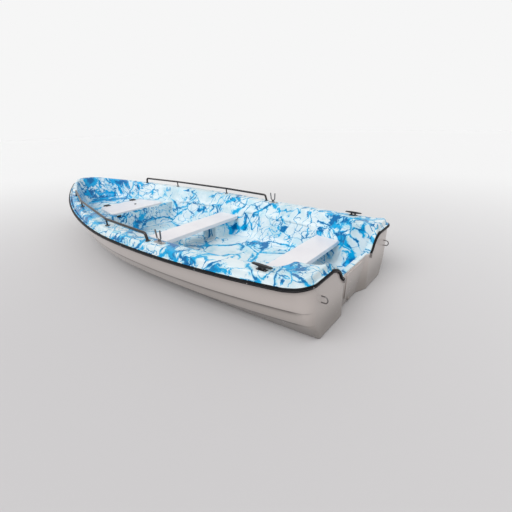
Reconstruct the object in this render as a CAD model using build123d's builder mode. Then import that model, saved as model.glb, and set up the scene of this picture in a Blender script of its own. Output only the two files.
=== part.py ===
from build123d import *
import os
from math import asin, atan2, cos, pi, sin, sqrt

os.makedirs("parts", exist_ok=True)

# Moulded plastic rowing and fishing boat, in millimetres.
# X points forward and Y to port. Z = 0 is the flat bottom on which the boat rests.
# Stations are measured forward from the transom's aft faces, and station(s) turns them into X.

LENGTH = 4150.0            # transom to bow, on the rub rail's centreline
HALF_BEAM = 835.5          # rub rail's centreline at the widest station
WIDEST = 1767.0            # widest station
STERN_TAPER = 143.0        # how much narrower each side is at the transom
FIRST_RADIUS = 3646.0      # plan arc forward of the widest station
FIRST_TURN = 0.117         # and its turn, in radians
EYE_REACH = 48.0           # how far the stern eyes stand out aft
RUBBER_OUT = 14.0          # rub rail outside its centreline
RUBBER_IN = 12.0           # hull flange's outer face inside that centreline
RUBBER_TALL = 22.0
RUBBER_ROUND = 7.0         # radius along its outer edges
MIDDLE = (LENGTH + RUBBER_OUT - EYE_REACH) / 2

SHEER = [(150, 404), (1600, 376), (LENGTH + 60, 516)]      # (station, height) of the rub rail's centre
SHEER_STERN = 432.0        # its height across the aft faces
RISE_ROUND = 250.0         # radius where the sheer turns up to the stern and levels off
COAMING_TALL = 58.0        # gunwale top above the rub rail's centre
COAMING_RAKE = 0.48        # how far its outer face leans inboard for each unit of height
COAMING_ROUND = 12.0       # radius along its outer top edge
SKIN = 7.0                 # laminate thickness

# Recessed motor panel in the transom: it leans aft towards its top, where it is also wider.
PANEL_SIDE = 228.0         # inner edge of the aft faces
NOTCH = [(238, 312), (262, 324), (302, 378), (345, 412), (410, 432)]   # (half width, height) of the hull's edge
PANEL_LEAN = 0.106         # how far the panel comes aft for each unit of height


def recess(z):
    """Depth of the motor panel behind the aft faces at a height."""
    return max(8.0, 46.0 - PANEL_LEAN * z)


def panel_half(z):
    return min(205.0, 120.0 + 0.25 * z)


def station(s):
    return s - MIDDLE


def plan_arcs(half, taper, tip, tip_radius, corner_radius, aft=0.0):
    """Arcs of one side of an outline as (centre, radius, start, end), from the transom to the bow tip.

    Each turns from start to end, measured from +Y towards the bow, and meets the next one smoothly.
    """
    side_radius = (WIDEST - aft) ** 2 / (2 * taper)
    side_centre = (WIDEST, half - side_radius)
    corner_x = aft + corner_radius
    corner_y = side_centre[1] + sqrt((side_radius - corner_radius) ** 2 - (WIDEST - corner_x) ** 2)
    turn = asin((WIDEST - corner_x) / (side_radius - corner_radius))

    first_centre = (WIDEST, half - FIRST_RADIUS)
    joint = (WIDEST + FIRST_RADIUS * sin(FIRST_TURN), half - FIRST_RADIUS * (1 - cos(FIRST_TURN)))
    tip_centre = (tip - tip_radius, 0.0)
    back = (joint[0] - tip_centre[0], joint[1] - tip_centre[1])
    inward = (-sin(FIRST_TURN), -cos(FIRST_TURN))
    along = back[0] * inward[0] + back[1] * inward[1]
    second_radius = (tip_radius ** 2 - back[0] ** 2 - back[1] ** 2) / (2 * (along + tip_radius))
    second_centre = (joint[0] + second_radius * inward[0], joint[1] + second_radius * inward[1])
    last_turn = atan2(tip_centre[0] - second_centre[0], tip_centre[1] - second_centre[1])
    return [
        ((corner_x, corner_y), corner_radius, -pi / 2, -turn),
        (side_centre, side_radius, -turn, 0.0),
        (first_centre, FIRST_RADIUS, 0.0, FIRST_TURN),
        (second_centre, second_radius, FIRST_TURN, last_turn),
        (tip_centre, tip_radius, last_turn, pi - last_turn),
    ]


def arc_points(arc, side=1):
    """Start, middle and end of a plan arc on one side."""
    centre, radius, start, end = arc
    return [(station(centre[0] + radius * sin(t)), side * (centre[1] + radius * cos(t)))
            for t in (start, (start + end) / 2, end)]


def outline(height, half, taper, tip, tip_radius, corner_radius, aft=0.0, notched=True):
    """Closed hull outline on a level plane."""
    arcs = plan_arcs(half, taper, tip, tip_radius, corner_radius, aft)
    transom = station(aft)
    depth = recess(height) if notched else 0.0
    panel = panel_half(height) if notched else PANEL_SIDE
    with BuildSketch(Plane.XY.offset(height)) as level:
        with BuildLine():
            for side in (1, -1):
                for arc in arcs[:4]:
                    ThreePointArc(*arc_points(arc, side))
                Line(arc_points(arcs[0], side)[0], (transom, side * PANEL_SIDE))
                if notched:
                    Line((transom, side * PANEL_SIDE), (transom + depth, side * panel))
            ThreePointArc(*arc_points(arcs[4]))
            Line((transom + depth, panel), (transom + depth, -panel))
        make_face()
    return level.sketch


def below_curve(points, low=-50.0):
    """Side profile below a curve through three (station, height) points."""
    ends = [(station(s), z) for s, z in points]
    with BuildSketch(Plane.XZ) as side:
        with BuildLine():
            ThreePointArc(*ends)
            Polyline(ends[-1], (ends[-1][0], low), (ends[0][0], low), ends[0])
        make_face()
    return side.sketch


def below_sheer(lift, low=-50.0):
    """Side profile up to the sheer, raised by lift, with its short rise at the stern."""
    points = [(station(s), z + lift) for s, z in SHEER]
    stern = (station(-80.0), SHEER_STERN + lift)
    foot = (station(12.0), SHEER_STERN + lift)
    with BuildSketch(Plane.XZ) as side:
        with BuildLine():
            ThreePointArc(*points)
            Polyline(points[-1], (points[-1][0], low), (stern[0], low), stern, foot, points[0])
        make_face()
        bends = [v for v in side.vertices() if min(abs(v.X - foot[0]), abs(v.X - points[0][0])) < 0.1]
        fillet(bends, RISE_ROUND)
    return side.sketch


# The bottom and two lapped strakes. Each is a loft between two level outlines:
# (height, half breadth, taper at the stern, bow tip, tip radius, stern corner radius).
LOWER_STEP = [(-60, 152), (1200, 120), (LENGTH + 60, 335)]
UPPER_STEP = [(-60, 253), (1300, 212), (LENGTH + 60, 424)]
STRAKES = {
    "bottom": (None, LOWER_STEP, [(0, 606, 74, 3400, 230, 20), (130, 727, 110, 3790, 200, 45),
                                  (345, 775, 120, 4025, 180, 60)]),
    "lower": (LOWER_STEP, UPPER_STEP, [(90, 729, 112, 3760, 205, 45), (215, 770, 125, 3985, 190, 70),
                                       (440, 812, 134, 4108, 175, 90)]),
    "upper": (UPPER_STEP, None, [(180, 771, 125, 3950, 195, 70), (376, 817, 140, 4096, 178, 105),
                                 (560, 830, 150, 4142, 168, 110)]),
}

STEP_WEB = 12.0            # laminate kept above each lap

layers = []
hollows = []
for low_edge, high_edge, levels in STRAKES.values():
    with BuildPart() as layer:
        loft([outline(*level) for level in levels], ruled=True)
        extrude(below_curve(high_edge) if high_edge else below_sheer(0.0), 1000, both=True, mode=Mode.INTERSECT)
        if low_edge:
            extrude(below_curve(low_edge), 1000, both=True, mode=Mode.SUBTRACT)
    layers.append(layer.part)
    inside = [(z, half - SKIN, taper, tip - 1.4 * SKIN, tip_radius - SKIN, corner_radius - SKIN, SKIN)
              for z, half, taper, tip, tip_radius, corner_radius in levels]
    with BuildPart() as hollow:
        loft([outline(*level) for level in inside], ruled=True)
        if high_edge:
            raised = [(s, z + STEP_WEB) for s, z in high_edge]
            extrude(below_curve(raised), 1000, both=True, mode=Mode.INTERSECT)
        floor = [(s, z + STEP_WEB) for s, z in low_edge] if low_edge else [(-60, SKIN), (1500, SKIN + 0.1), (4210, SKIN)]
        extrude(below_curve(floor), 1000, both=True, mode=Mode.SUBTRACT)
    hollows.append(hollow.part)


def rim(inset):
    """Measures of the vertical-sided outline at an inset from the rub rail's centreline."""
    return (HALF_BEAM - inset, STERN_TAPER, LENGTH - inset, 190.0 - inset, 112.0 - inset)


def notch_cutter(lift, rise):
    """Prism above the motor notch's edge, raised by lift at its floor and by rise on its shoulders."""
    top = SHEER_STERN + 300.0
    edge = [(y, z + (lift if z < 320 else rise)) for y, z in NOTCH]
    points = [(-y, z) for y, z in reversed(edge)] + edge
    with BuildSketch(Plane.YZ.offset(station(-60.0))) as face:
        with BuildLine():
            Polyline(*points, (edge[-1][0] + 60.0, top), (-edge[-1][0] - 60.0, top), close=True)
        make_face()
    return extrude(face.sketch, 330.0, mode=Mode.PRIVATE)


FLANGE_WIDE = 24.0
FLANGE_TALL = 22.0
with BuildPart() as hull_shell:
    for strake in layers:
        add(strake)
    for hollow in hollows:
        add(hollow, mode=Mode.SUBTRACT)
    add(notch_cutter(0.0, 0.0), mode=Mode.SUBTRACT)

with BuildPart() as flange:
    extrude(outline(300.0, *rim(RUBBER_IN)), 400)
    extrude(outline(300.0, *rim(RUBBER_IN + FLANGE_WIDE), aft=SKIN), 400, mode=Mode.SUBTRACT)
    extrude(below_sheer(0.0), 1000, both=True, mode=Mode.INTERSECT)
    extrude(below_sheer(-FLANGE_TALL), 1000, both=True, mode=Mode.SUBTRACT)
    add(notch_cutter(0.0, 0.0), mode=Mode.SUBTRACT)

# Eye bolts: a U of round bar through the skin, one on each aft face and one on the stem.
EYE_BAR = 4.0
EYE_SPACING = 44.0
STERN_EYE_Y = 535.0
STERN_EYE_Z = 305.0
BOW_EYE_Z = 300.0
BOW_EYE_FACE = 4031.0      # stem's station at that height


def eye_bolt(face, height, out, inside):
    """U of round bar in the XZ plane: out is -1 aft or 1 forward, and its legs reach inside the skin."""
    root = station(face - out * inside)
    bend = station(face + out * (EYE_REACH - EYE_SPACING / 2 - EYE_BAR))
    half = EYE_SPACING / 2
    with BuildPart() as eye:
        with BuildLine(Plane.XZ) as path:
            Line((root, height - half), (bend, height - half))
            ThreePointArc((bend, height - half), (bend + out * half, height), (bend, height + half))
            Line((bend, height + half), (root, height + half))
        with BuildSketch(Plane((root, 0, height - half), z_dir=(out, 0, 0))):
            Circle(EYE_BAR)
        sweep(path=path.line)
    return eye.part


stern_eye = eye_bolt(0.0, STERN_EYE_Z, -1, SKIN)
bow_eye = eye_bolt(BOW_EYE_FACE, BOW_EYE_Z, 1, 40.0)

with BuildPart() as hull:
    add(hull_shell.part)
    add(flange.part)
    for y in (STERN_EYE_Y, -STERN_EYE_Y):
        add(Pos(0, y, 0) * stern_eye, mode=Mode.SUBTRACT)
    add(bow_eye, mode=Mode.SUBTRACT)
hull.part.label = "hull_shell"
export_step(hull.part, "parts/hull_shell.step")

for name, y in (("port_stern_eye", STERN_EYE_Y), ("starboard_stern_eye", -STERN_EYE_Y)):
    placed = Pos(0, y, 0) * stern_eye
    placed.label = name
    export_step(placed, f"parts/{name}.step")
bow_eye.label = "bow_eye"
export_step(bow_eye, "parts/bow_eye.step")

def shared_edges(part, flat, steep):
    """Edges of a part between its faces that pass one test on their normals and those that pass another."""
    side_edges = part.faces().filter_by(steep).edges()
    return [edge for edge in part.faces().filter_by(flat).edges() if edge in side_edges]


# Rub rail: a black band round the flange from one side of the notch to the other.
with BuildPart() as rub_rail:
    extrude(outline(300.0, *rim(-RUBBER_OUT), aft=-RUBBER_OUT, notched=False), 400)
    extrude(below_sheer(RUBBER_TALL / 2), 1000, both=True, mode=Mode.INTERSECT)
    extrude(below_sheer(-RUBBER_TALL / 2), 1000, both=True, mode=Mode.SUBTRACT)
    fillet(shared_edges(rub_rail, lambda f: abs(f.normal_at().Z) > 0.9, lambda f: abs(f.normal_at().Z) < 0.1),
           RUBBER_ROUND)
    extrude(outline(300.0, *rim(RUBBER_IN), notched=False), 400, mode=Mode.SUBTRACT)
    with BuildSketch(Plane.XY):
        with Locations((station(0.0), 0)):
            Rectangle(120, 2 * NOTCH[-1][0])
    extrude(amount=800, mode=Mode.SUBTRACT)
    for side in (1, -1):
        edge = [(side * y, z) for y, z in [(246, 304)] + NOTCH[1:]]
        with BuildSketch(Plane.YZ.offset(station(-RUBBER_OUT))):
            with BuildLine():
                Polyline(*edge)
            trace(line_width=RUBBER_TALL)
        extrude(amount=RUBBER_OUT)
rub_rail.part.label = "rub_rail"
export_step(rub_rail.part, "parts/rub_rail.step")

# Liner: gunwale, cockpit tub, bow locker and motor well, moulded in one skin.
SOLE = 70.0
BOW_DECK = 300.0
LOCKER_FACE = 2790.0       # aft face of the bow locker
# (height, half breadth, stern taper, tip, tip radius, corner radius, aft station) of the tub's inside,
# with a narrow shelf moulded round it below the gunwale
TUB = [(SOLE, 487, 50, 3640, 190, 110, 330), (322, 588, 84, 3895, 195, 120, 285),
       (340, 622, 96, 3925, 192, 125, 262), (560, 742, 118, 4040, 190, 130, 225)]
WELL = [(SOLE, 405, 95), (560, 462, 20)]       # (height, half width, aft station) of the well before the transom


def tub(grow):
    """The tub's inside, or its outside when grown by the skin."""
    levels = [(z - (grow if z == SOLE else 0), half + grow, taper, tip + grow, tip_radius + grow,
               corner_radius + grow, aft - grow) for z, half, taper, tip, tip_radius, corner_radius, aft in TUB]
    with BuildPart() as space:
        loft([outline(*level, notched=False) for level in levels], ruled=True)
        well = []
        for z, half, aft in WELL:
            floor = z - (grow if z == SOLE else 0)
            with BuildSketch(Plane.XY.offset(floor)) as face:
                with Locations((station(aft - grow), 0)):
                    Rectangle(420, 2 * (half + grow), align=(Align.MIN, Align.CENTER))
                fillet(face.vertices().group_by(Axis.X)[0], 30.0 + grow)
            well.append(face.sketch)
        loft(well, ruled=True)
        with Locations((station(LOCKER_FACE + grow), 0, 0)):
            Box(1600, 1400, BOW_DECK - grow, align=(Align.MIN, Align.CENTER, Align.MIN), mode=Mode.SUBTRACT)
    return space.part



def coaming_level(height):
    """Outline of the gunwale's outer face on a level plane: it leans inboard above the sloping sheer."""
    side, stern, bow = (RUBBER_IN + COAMING_RAKE * (height - z) for z in (SHEER[1][1], SHEER[0][1], SHEER[2][1]))
    taper = STERN_TAPER + stern - side
    return outline(height, HALF_BEAM - side, taper, LENGTH - bow, 190.0 - side, 112.0 - RUBBER_IN,
                   aft=2.0 + COAMING_RAKE * (height - SHEER_STERN), notched=False)


with BuildPart() as coaming:
    loft([coaming_level(360.0), coaming_level(600.0)], ruled=True)
    extrude(outline(300.0, *rim(RUBBER_IN), aft=2.0, notched=False), 400, mode=Mode.INTERSECT)
    extrude(below_sheer(COAMING_TALL), 1000, both=True, mode=Mode.INTERSECT)
    extrude(below_sheer(0.0), 1000, both=True, mode=Mode.SUBTRACT)
    fillet(shared_edges(coaming, lambda f: f.normal_at().Z > 0.9, lambda f: abs(f.normal_at().Z) < 0.6), COAMING_ROUND)
with BuildPart() as tub_skin:
    add(tub(SKIN))
    extrude(below_sheer(COAMING_TALL), 1000, both=True, mode=Mode.INTERSECT)
with BuildPart() as sill:
    extrude(outline(290.0, *rim(RUBBER_IN + 30.0), aft=2.0), 200)
    with Locations((station(170.0), 0, 0)):
        Box(5000, 2000, 800, align=(Align.MIN, Align.CENTER, Align.MIN), mode=Mode.SUBTRACT)
    add(notch_cutter(0.0, 0.0), mode=Mode.INTERSECT)
    extrude(below_sheer(COAMING_TALL), 1000, both=True, mode=Mode.INTERSECT)
# Bow locker: a box under the bow deck, opened by a hinged lid.
LID_AFT = 2800.0
LID_FORE = 3235.0
LID_HALF_AFT = 335.0
LID_HALF_FORE = 262.0
LID_THICK = 18.0
LID_GAP = 1.0
LID_CORNERS = (40.0, 68.0)     # radius of its aft and its forward corners
LOCKER_INSET = 35.0
LOCKER_FLOOR = 130.0


def lid_outline(height, inset, aft_corner, fore_corner):
    """Tapered outline of the locker lid on a level plane, drawn in by inset."""
    slope = (LID_HALF_AFT - LID_HALF_FORE) / (LID_FORE - LID_AFT)
    aft, fore = LID_AFT + inset, LID_FORE - inset
    half_aft = LID_HALF_AFT - inset * (1 + slope)
    half_fore = LID_HALF_FORE - inset * (1 - slope)
    with BuildSketch(Plane.XY.offset(height)) as face:
        with BuildLine():
            Polyline((station(aft), half_aft), (station(fore), half_fore), (station(fore), -half_fore),
                     (station(aft), -half_aft), close=True)
        make_face()
        fillet(face.vertices().group_by(Axis.X)[0], aft_corner)
        fillet(face.vertices().group_by(Axis.X)[-1], fore_corner)
    return face.sketch


# Wall panels moulded outward into the tub's sides: (aft end, fore end) of each.
WALL_PANELS = [(690.0, 1195.0), (1340.0, 1660.0), (2010.0, 2700.0)]
PANEL_LOW = 105.0
PANEL_HIGH = 304.0
PANEL_CORNER = 85.0
PANEL_DEEP = 10.0


def wall_panels(grow):
    """Space of the wall panels, or their outside when grown by the skin."""
    with BuildPart() as panels:
        with BuildSketch(Plane.XZ) as faces:
            for aft, fore in WALL_PANELS:
                with Locations((station((aft + fore) / 2), (PANEL_LOW + PANEL_HIGH) / 2)):
                    RectangleRounded(fore - aft + 2 * grow, PANEL_HIGH - PANEL_LOW + 2 * grow, PANEL_CORNER + grow)
        extrude(amount=800, both=True)
        add(tub(PANEL_DEEP + grow), mode=Mode.INTERSECT)
    return panels.part


# Thwarts, each a board with a lip turned down round it:
# (name, aft edge, fore edge, top, half length, aft corner, fore corner, inner end of what carries it, its foot).
THWARTS = [("mid_thwart", 1692.0, 1965.0, 262.0, 556.0, 30.0, 30.0, 210.0, SOLE),
           ("aft_thwart", 385.0, 632.0, 252.0, 560.0, 95.0, 55.0, 440.0, 204.0)]
THWART_THICK = 9.0
THWART_LIP = 36.0
LIP_WALL = 7.0
THWART_ROUND = 6.0
THWART_GAP = 2.0           # between a thwart's ends and the tub's walls
RISER_SIDE = 9.0           # gap between a thwart's lip and the moulded riser inside it
RISER_CORNER = 20.0


def thwart_outline(height, aft, fore, half, aft_corner, fore_corner, inset=0.0):
    """Rounded outline of a thwart on a level plane, drawn in by inset."""
    with BuildSketch(Plane.XY.offset(height)) as board:
        with Locations((station((aft + fore) / 2), 0)):
            Rectangle(fore - aft - 2 * inset, 2 * (half - inset))
        fillet(board.vertices().group_by(Axis.X)[0], max(aft_corner - inset, 3.0))
        fillet(board.vertices().group_by(Axis.X)[-1], max(fore_corner - inset, 3.0))
    return board.sketch


def riser_pair(blocks, inner, low):
    """Pair of uprights over level (face, top) blocks, one each side, that stop at a distance from the centre plane."""
    with BuildPart() as pair:
        for face, high in blocks:
            add(extrude(face, high - low))
        with BuildSketch(Plane.XY.offset(low)):
            Rectangle(2 * LENGTH, 2 * inner)
        extrude(amount=blocks[0][1] - low, mode=Mode.SUBTRACT)
        fillet(pair.edges().filter_by(Axis.Z).filter_by(lambda e: abs(abs(e.center().Y) - inner) < 1), RISER_CORNER)
    return pair.part


with BuildPart() as risers:
    for name, aft, fore, top, half, aft_corner, fore_corner, inner, foot in THWARTS:
        low = foot - SKIN / 2
        below_lip = top - THWART_LIP - RISER_SIDE / 2
        within = thwart_outline(low, aft, fore, half, aft_corner, fore_corner, LIP_WALL + RISER_SIDE)
        to_wall = thwart_outline(low, aft, fore, half + 100, 4.0, 4.0, LIP_WALL + RISER_SIDE)
        add(riser_pair([(within, top - THWART_THICK), (to_wall, below_lip)], inner, low))
    add(tub(SKIN / 2), mode=Mode.INTERSECT)

# Rowlocks: (station, distance inboard of the rub rail) of their upright pins.
ROWLOCK_STATION = 1300.0
ROWLOCK_INSET = 112.0
PIN_RADIUS = 6.5
SOCKET_BORE = 6.8
SOCKET_RADIUS = 11.0
SOCKET_DEEP = 34.0


def half_breadth(s, inset):
    """Half breadth at a station of the line an inset inboard of the rub rail's centreline."""
    for centre, radius, start, end in plan_arcs(*rim(inset)):
        if s <= centre[0] + radius * sin(end):
            return centre[1] + sqrt(radius ** 2 - (s - centre[0]) ** 2)


def sheer_height(s):
    """Height of the sheer at a station forward of the stern's rise, on its circular arc."""
    (x1, z1), (x2, z2), (x3, z3) = SHEER
    left, right = (x2 - x1, z2 - z1), (x3 - x2, z3 - z2)
    cross = 2 * (left[0] * right[1] - left[1] * right[0])
    sq1, sq2, sq3 = x1 ** 2 + z1 ** 2, x2 ** 2 + z2 ** 2, x3 ** 2 + z3 ** 2
    centre_x = ((sq2 - sq1) * right[1] - (sq3 - sq2) * left[1]) / cross
    centre_z = ((sq3 - sq2) * left[0] - (sq2 - sq1) * right[0]) / cross
    radius = sqrt((x1 - centre_x) ** 2 + (z1 - centre_z) ** 2)
    return centre_z - sqrt(radius ** 2 - (s - centre_x) ** 2)


def deck_height(s):
    return sheer_height(s) + COAMING_TALL


ROWLOCK_Y = half_breadth(ROWLOCK_STATION, ROWLOCK_INSET)
ROWLOCK_DECK = deck_height(ROWLOCK_STATION)

with BuildPart() as liner_all:
    add(coaming.part)
    add(tub_skin.part)
    add(wall_panels(SKIN))
    add(sill.part)
    extrude(lid_outline(LOCKER_FLOOR - SKIN, LOCKER_INSET - SKIN, 30.0, 50.0), BOW_DECK - LOCKER_FLOOR)
    add(notch_cutter(9.0, 30.0), mode=Mode.SUBTRACT)
    add(tub(0.0), mode=Mode.SUBTRACT)
    add(wall_panels(0.0), mode=Mode.SUBTRACT)
    extrude(lid_outline(LOCKER_FLOOR, LOCKER_INSET, 24.0, 44.0), 300, mode=Mode.SUBTRACT)
    add(risers.part)
    with Locations((station(ROWLOCK_STATION), ROWLOCK_Y, ROWLOCK_DECK + 5.0),
                   (station(ROWLOCK_STATION), -ROWLOCK_Y, ROWLOCK_DECK + 5.0)):
        Cylinder(SOCKET_RADIUS, SOCKET_DEEP + 5.0, align=(Align.CENTER, Align.CENTER, Align.MAX), mode=Mode.SUBTRACT)
liner_all.part.label = "liner"
export_step(liner_all.part, "parts/liner.step")

for name, aft, fore, top, half, aft_corner, fore_corner, inner, foot in THWARTS:
    shape = (aft, fore, half, aft_corner, fore_corner)
    with BuildPart() as thwart:
        add(extrude(thwart_outline(top, *shape), -THWART_LIP))
        fillet(thwart.faces().sort_by(Axis.Z)[-1].edges(), THWART_ROUND)
        add(extrude(thwart_outline(top - THWART_THICK, *shape, LIP_WALL), -THWART_LIP), mode=Mode.SUBTRACT)
        add(tub(-THWART_GAP), mode=Mode.INTERSECT)
    thwart.part.label = name
    export_step(thwart.part, f"parts/{name}.step")

# Locker lid, its two hinges, its finger pull and its catch.
HINGE_S = LID_FORE + 8.0
HINGE_Z = BOW_DECK + LID_GAP + LID_THICK + 4.0
HINGE_Y = 170.0
HINGE_RADIUS = 5.0
HINGE_PIN = 2.2
HINGE_WIDE = 60.0
LEAF_THICK = 4.0
LEAF_LONG = 34.0

with BuildPart() as lid:
    extrude(lid_outline(BOW_DECK + LID_GAP, 0.0, *LID_CORNERS), LID_THICK)
    fillet(lid.faces().sort_by(Axis.Z)[-1].edges(), 5.0)
lid.part.label = "bow_locker_lid"
export_step(lid.part, "parts/bow_locker_lid.step")

with BuildPart() as hinge_leaves:
    for y in (HINGE_Y, -HINGE_Y):
        leaf_plane = Plane((station(HINGE_S), y, HINGE_Z), x_dir=(1, 0, 0), z_dir=(0, -1, 0))
        with BuildSketch(leaf_plane.offset(-HINGE_WIDE / 2)):
            with Locations((-LEAF_LONG / 2 - HINGE_RADIUS - 0.8, LEAF_THICK / 2 - 4.0)):
                Rectangle(LEAF_LONG, LEAF_THICK)
        extrude(amount=HINGE_WIDE)
        with BuildSketch(leaf_plane.offset(-HINGE_WIDE / 6 + 0.4)):
            Circle(HINGE_RADIUS)
            with Locations((-HINGE_RADIUS, LEAF_THICK / 2 - 4.0)):
                Rectangle(2 * HINGE_RADIUS, LEAF_THICK)
            Circle(HINGE_PIN + 0.3, mode=Mode.SUBTRACT)
        extrude(amount=HINGE_WIDE / 3 - 0.8)
hinge_leaves.part.label = "lid_hinge_leaves"
export_step(hinge_leaves.part, "parts/lid_hinge_leaves.step")

with BuildPart() as hinge_bases:
    for y in (HINGE_Y, -HINGE_Y):
        base_plane = Plane((station(HINGE_S), y, HINGE_Z), x_dir=(1, 0, 0), z_dir=(0, -1, 0))
        for start in (-HINGE_WIDE / 2, HINGE_WIDE / 6):
            with BuildSketch(base_plane.offset(start)):
                Circle(HINGE_RADIUS)
                with Locations((HINGE_RADIUS, 0)):
                    Rectangle(2 * HINGE_RADIUS, 2 * HINGE_RADIUS)
            extrude(amount=HINGE_WIDE / 3)
        with Locations((station(HINGE_S + HINGE_RADIUS + 1), y, BOW_DECK)):
            Box(24, HINGE_WIDE, HINGE_Z + HINGE_RADIUS - BOW_DECK, align=(Align.MIN, Align.CENTER, Align.MIN))
        with BuildSketch(base_plane.offset(-HINGE_WIDE / 2)):
            Circle(HINGE_PIN)
        extrude(amount=HINGE_WIDE)
hinge_bases.part.label = "lid_hinge_bases"
export_step(hinge_bases.part, "parts/lid_hinge_bases.step")

with BuildPart() as lid_pull:
    with Locations((station(3010.0), -70.0, BOW_DECK + LID_GAP + LID_THICK)):
        Cylinder(13, 7, align=(Align.CENTER, Align.CENTER, Align.MIN))
    fillet(lid_pull.faces().sort_by(Axis.Z)[-1].edges(), 2.5)
lid_pull.part.label = "lid_pull"
export_step(lid_pull.part, "parts/lid_pull.step")

with BuildPart() as lid_catch:
    with Locations((station(LOCKER_FACE), 270.0, BOW_DECK - 6.0)):
        Box(9, 46, 20, align=(Align.MAX, Align.CENTER, Align.MAX))
    fillet(lid_catch.faces().sort_by(Axis.X)[0].edges(), 2.5)
lid_catch.part.label = "lid_catch"
export_step(lid_catch.part, "parts/lid_catch.step")

# Gunwale fittings. Each is drawn on the port side and mirrored.
RAIL_INSET = 88.0
RAIL_RADIUS = 11.0
RAIL_HIGH = 62.0
RAIL_POSTS = (1430.0, 2040.0, 2815.0, 3275.0)
POST_RADIUS = 7.0
FOOT_RADIUS = 20.0
FOOT_THICK = 5.0
PLATE_LONG = 120.0
PLATE_WIDE = 42.0
PLATE_THICK = 4.0

with BuildPart() as gunwale_top:
    extrude(below_sheer(COAMING_TALL), 1000, both=True)

with BuildPart() as rail:
    stops = RAIL_POSTS
    route = [(station(s), half_breadth(s, RAIL_INSET), deck_height(s) + RAIL_HIGH) for s in stops]
    first, last = route[0], route[-1]
    start = (first[0] - 18, first[1], first[2] - RAIL_HIGH - 2)
    finish = (last[0] + 18, last[1], last[2] - RAIL_HIGH - 2)
    with BuildLine() as rail_path:
        FilletPolyline(start, *route, finish, radius=26)
    with BuildSketch(Plane(start, z_dir=rail_path.line % 0)):
        Circle(RAIL_RADIUS)
    sweep(path=rail_path.line)
    for s in RAIL_POSTS[1:3]:
        with Locations((station(s), half_breadth(s, RAIL_INSET), deck_height(s) + RAIL_HIGH)):
            Cylinder(POST_RADIUS, RAIL_HIGH + 4, align=(Align.CENTER, Align.CENTER, Align.MAX))
    feet = [(x, y) for x, y, z in (start, finish)] + [(station(s), half_breadth(s, RAIL_INSET)) for s in RAIL_POSTS[1:3]]
    for x, y in feet:
        with Locations((x, y, deck_height(x + MIDDLE) + FOOT_THICK)):
            Cylinder(FOOT_RADIUS, FOOT_THICK + 4, align=(Align.CENTER, Align.CENTER, Align.MAX))
    add(gunwale_top.part, mode=Mode.SUBTRACT)

with BuildPart() as socket:
    with BuildSketch(Plane.XY.offset(ROWLOCK_DECK - 3.0)):
        with Locations((station(ROWLOCK_STATION), ROWLOCK_Y)):
            SlotOverall(PLATE_LONG, PLATE_WIDE)
    extrude(amount=PLATE_THICK + 3.0)
    add(gunwale_top.part, mode=Mode.SUBTRACT)
    with Locations((station(ROWLOCK_STATION), ROWLOCK_Y, ROWLOCK_DECK + PLATE_THICK)):
        Cylinder(SOCKET_RADIUS, SOCKET_DEEP + PLATE_THICK, align=(Align.CENTER, Align.CENTER, Align.MAX))
        Cylinder(SOCKET_RADIUS + 5, 10, align=(Align.CENTER, Align.CENTER, Align.MIN))
        Cylinder(SOCKET_BORE, 200, mode=Mode.SUBTRACT)

HORN_HALF = 25.0
HORN_TALL = 52.0
HORN_BAR = 6.0
COLLAR = ROWLOCK_DECK + PLATE_THICK + 10.5
with BuildPart() as rowlock:
    with Locations((station(ROWLOCK_STATION), ROWLOCK_Y, COLLAR)):
        Cylinder(PIN_RADIUS, SOCKET_DEEP + 10, align=(Align.CENTER, Align.CENTER, Align.MAX))
        Cylinder(13, 8, align=(Align.CENTER, Align.CENTER, Align.MIN))
    bend = COLLAR + 8 + HORN_HALF + HORN_BAR - 3
    x = station(ROWLOCK_STATION)
    with BuildLine(Plane.XZ.offset(-ROWLOCK_Y)) as horns:
        Line((x - HORN_HALF - 5, bend + HORN_TALL), (x - HORN_HALF, bend))
        ThreePointArc((x - HORN_HALF, bend), (x, bend - HORN_HALF), (x + HORN_HALF, bend))
        Line((x + HORN_HALF, bend), (x + HORN_HALF + 5, bend + HORN_TALL))
    with BuildSketch(Plane((x - HORN_HALF - 5, ROWLOCK_Y, bend + HORN_TALL), z_dir=horns.line % 0)):
        Circle(HORN_BAR)
    sweep(path=horns.line, transition=Transition.ROUND)

CLEAT_STATION = 338.0
CLEAT_INSET = 80.0
CLEAT_LONG = 150.0
with BuildPart() as cleat:
    x, y, z = station(CLEAT_STATION), half_breadth(CLEAT_STATION, CLEAT_INSET), deck_height(CLEAT_STATION)
    with BuildSketch(Plane.XZ.offset(-y)):
        with BuildLine():
            Polyline((x - 34, z - 4), (x - 34, z + 6), (x - 24, z + 10), (x - 22, z + 22), (x - 75, z + 27),
                     (x - 75, z + 33), (x - 30, z + 36), (x + 30, z + 36), (x + 75, z + 33), (x + 75, z + 27),
                     (x + 22, z + 22), (x + 24, z + 10), (x + 34, z + 6), (x + 34, z - 4), close=True)
        make_face()
        with Locations((x, z + 14)):
            SlotOverall(26, 12, mode=Mode.SUBTRACT)
    extrude(amount=9, both=True)
    with Locations((x, y, z + 6)):
        Box(76, 30, 10, align=(Align.CENTER, Align.CENTER, Align.MAX))
    add(gunwale_top.part, mode=Mode.SUBTRACT)

FITTINGS = [("grab_rail", rail), ("rowlock_socket", socket), ("rowlock", rowlock), ("cleat", cleat)]
for name, fitting in FITTINGS:
    for side, piece in (("port", fitting.part), ("starboard", mirror(fitting.part, Plane.XZ))):
        piece.label = f"{side}_{name}"
        export_step(piece, f"parts/{side}_{name}.step")

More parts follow.
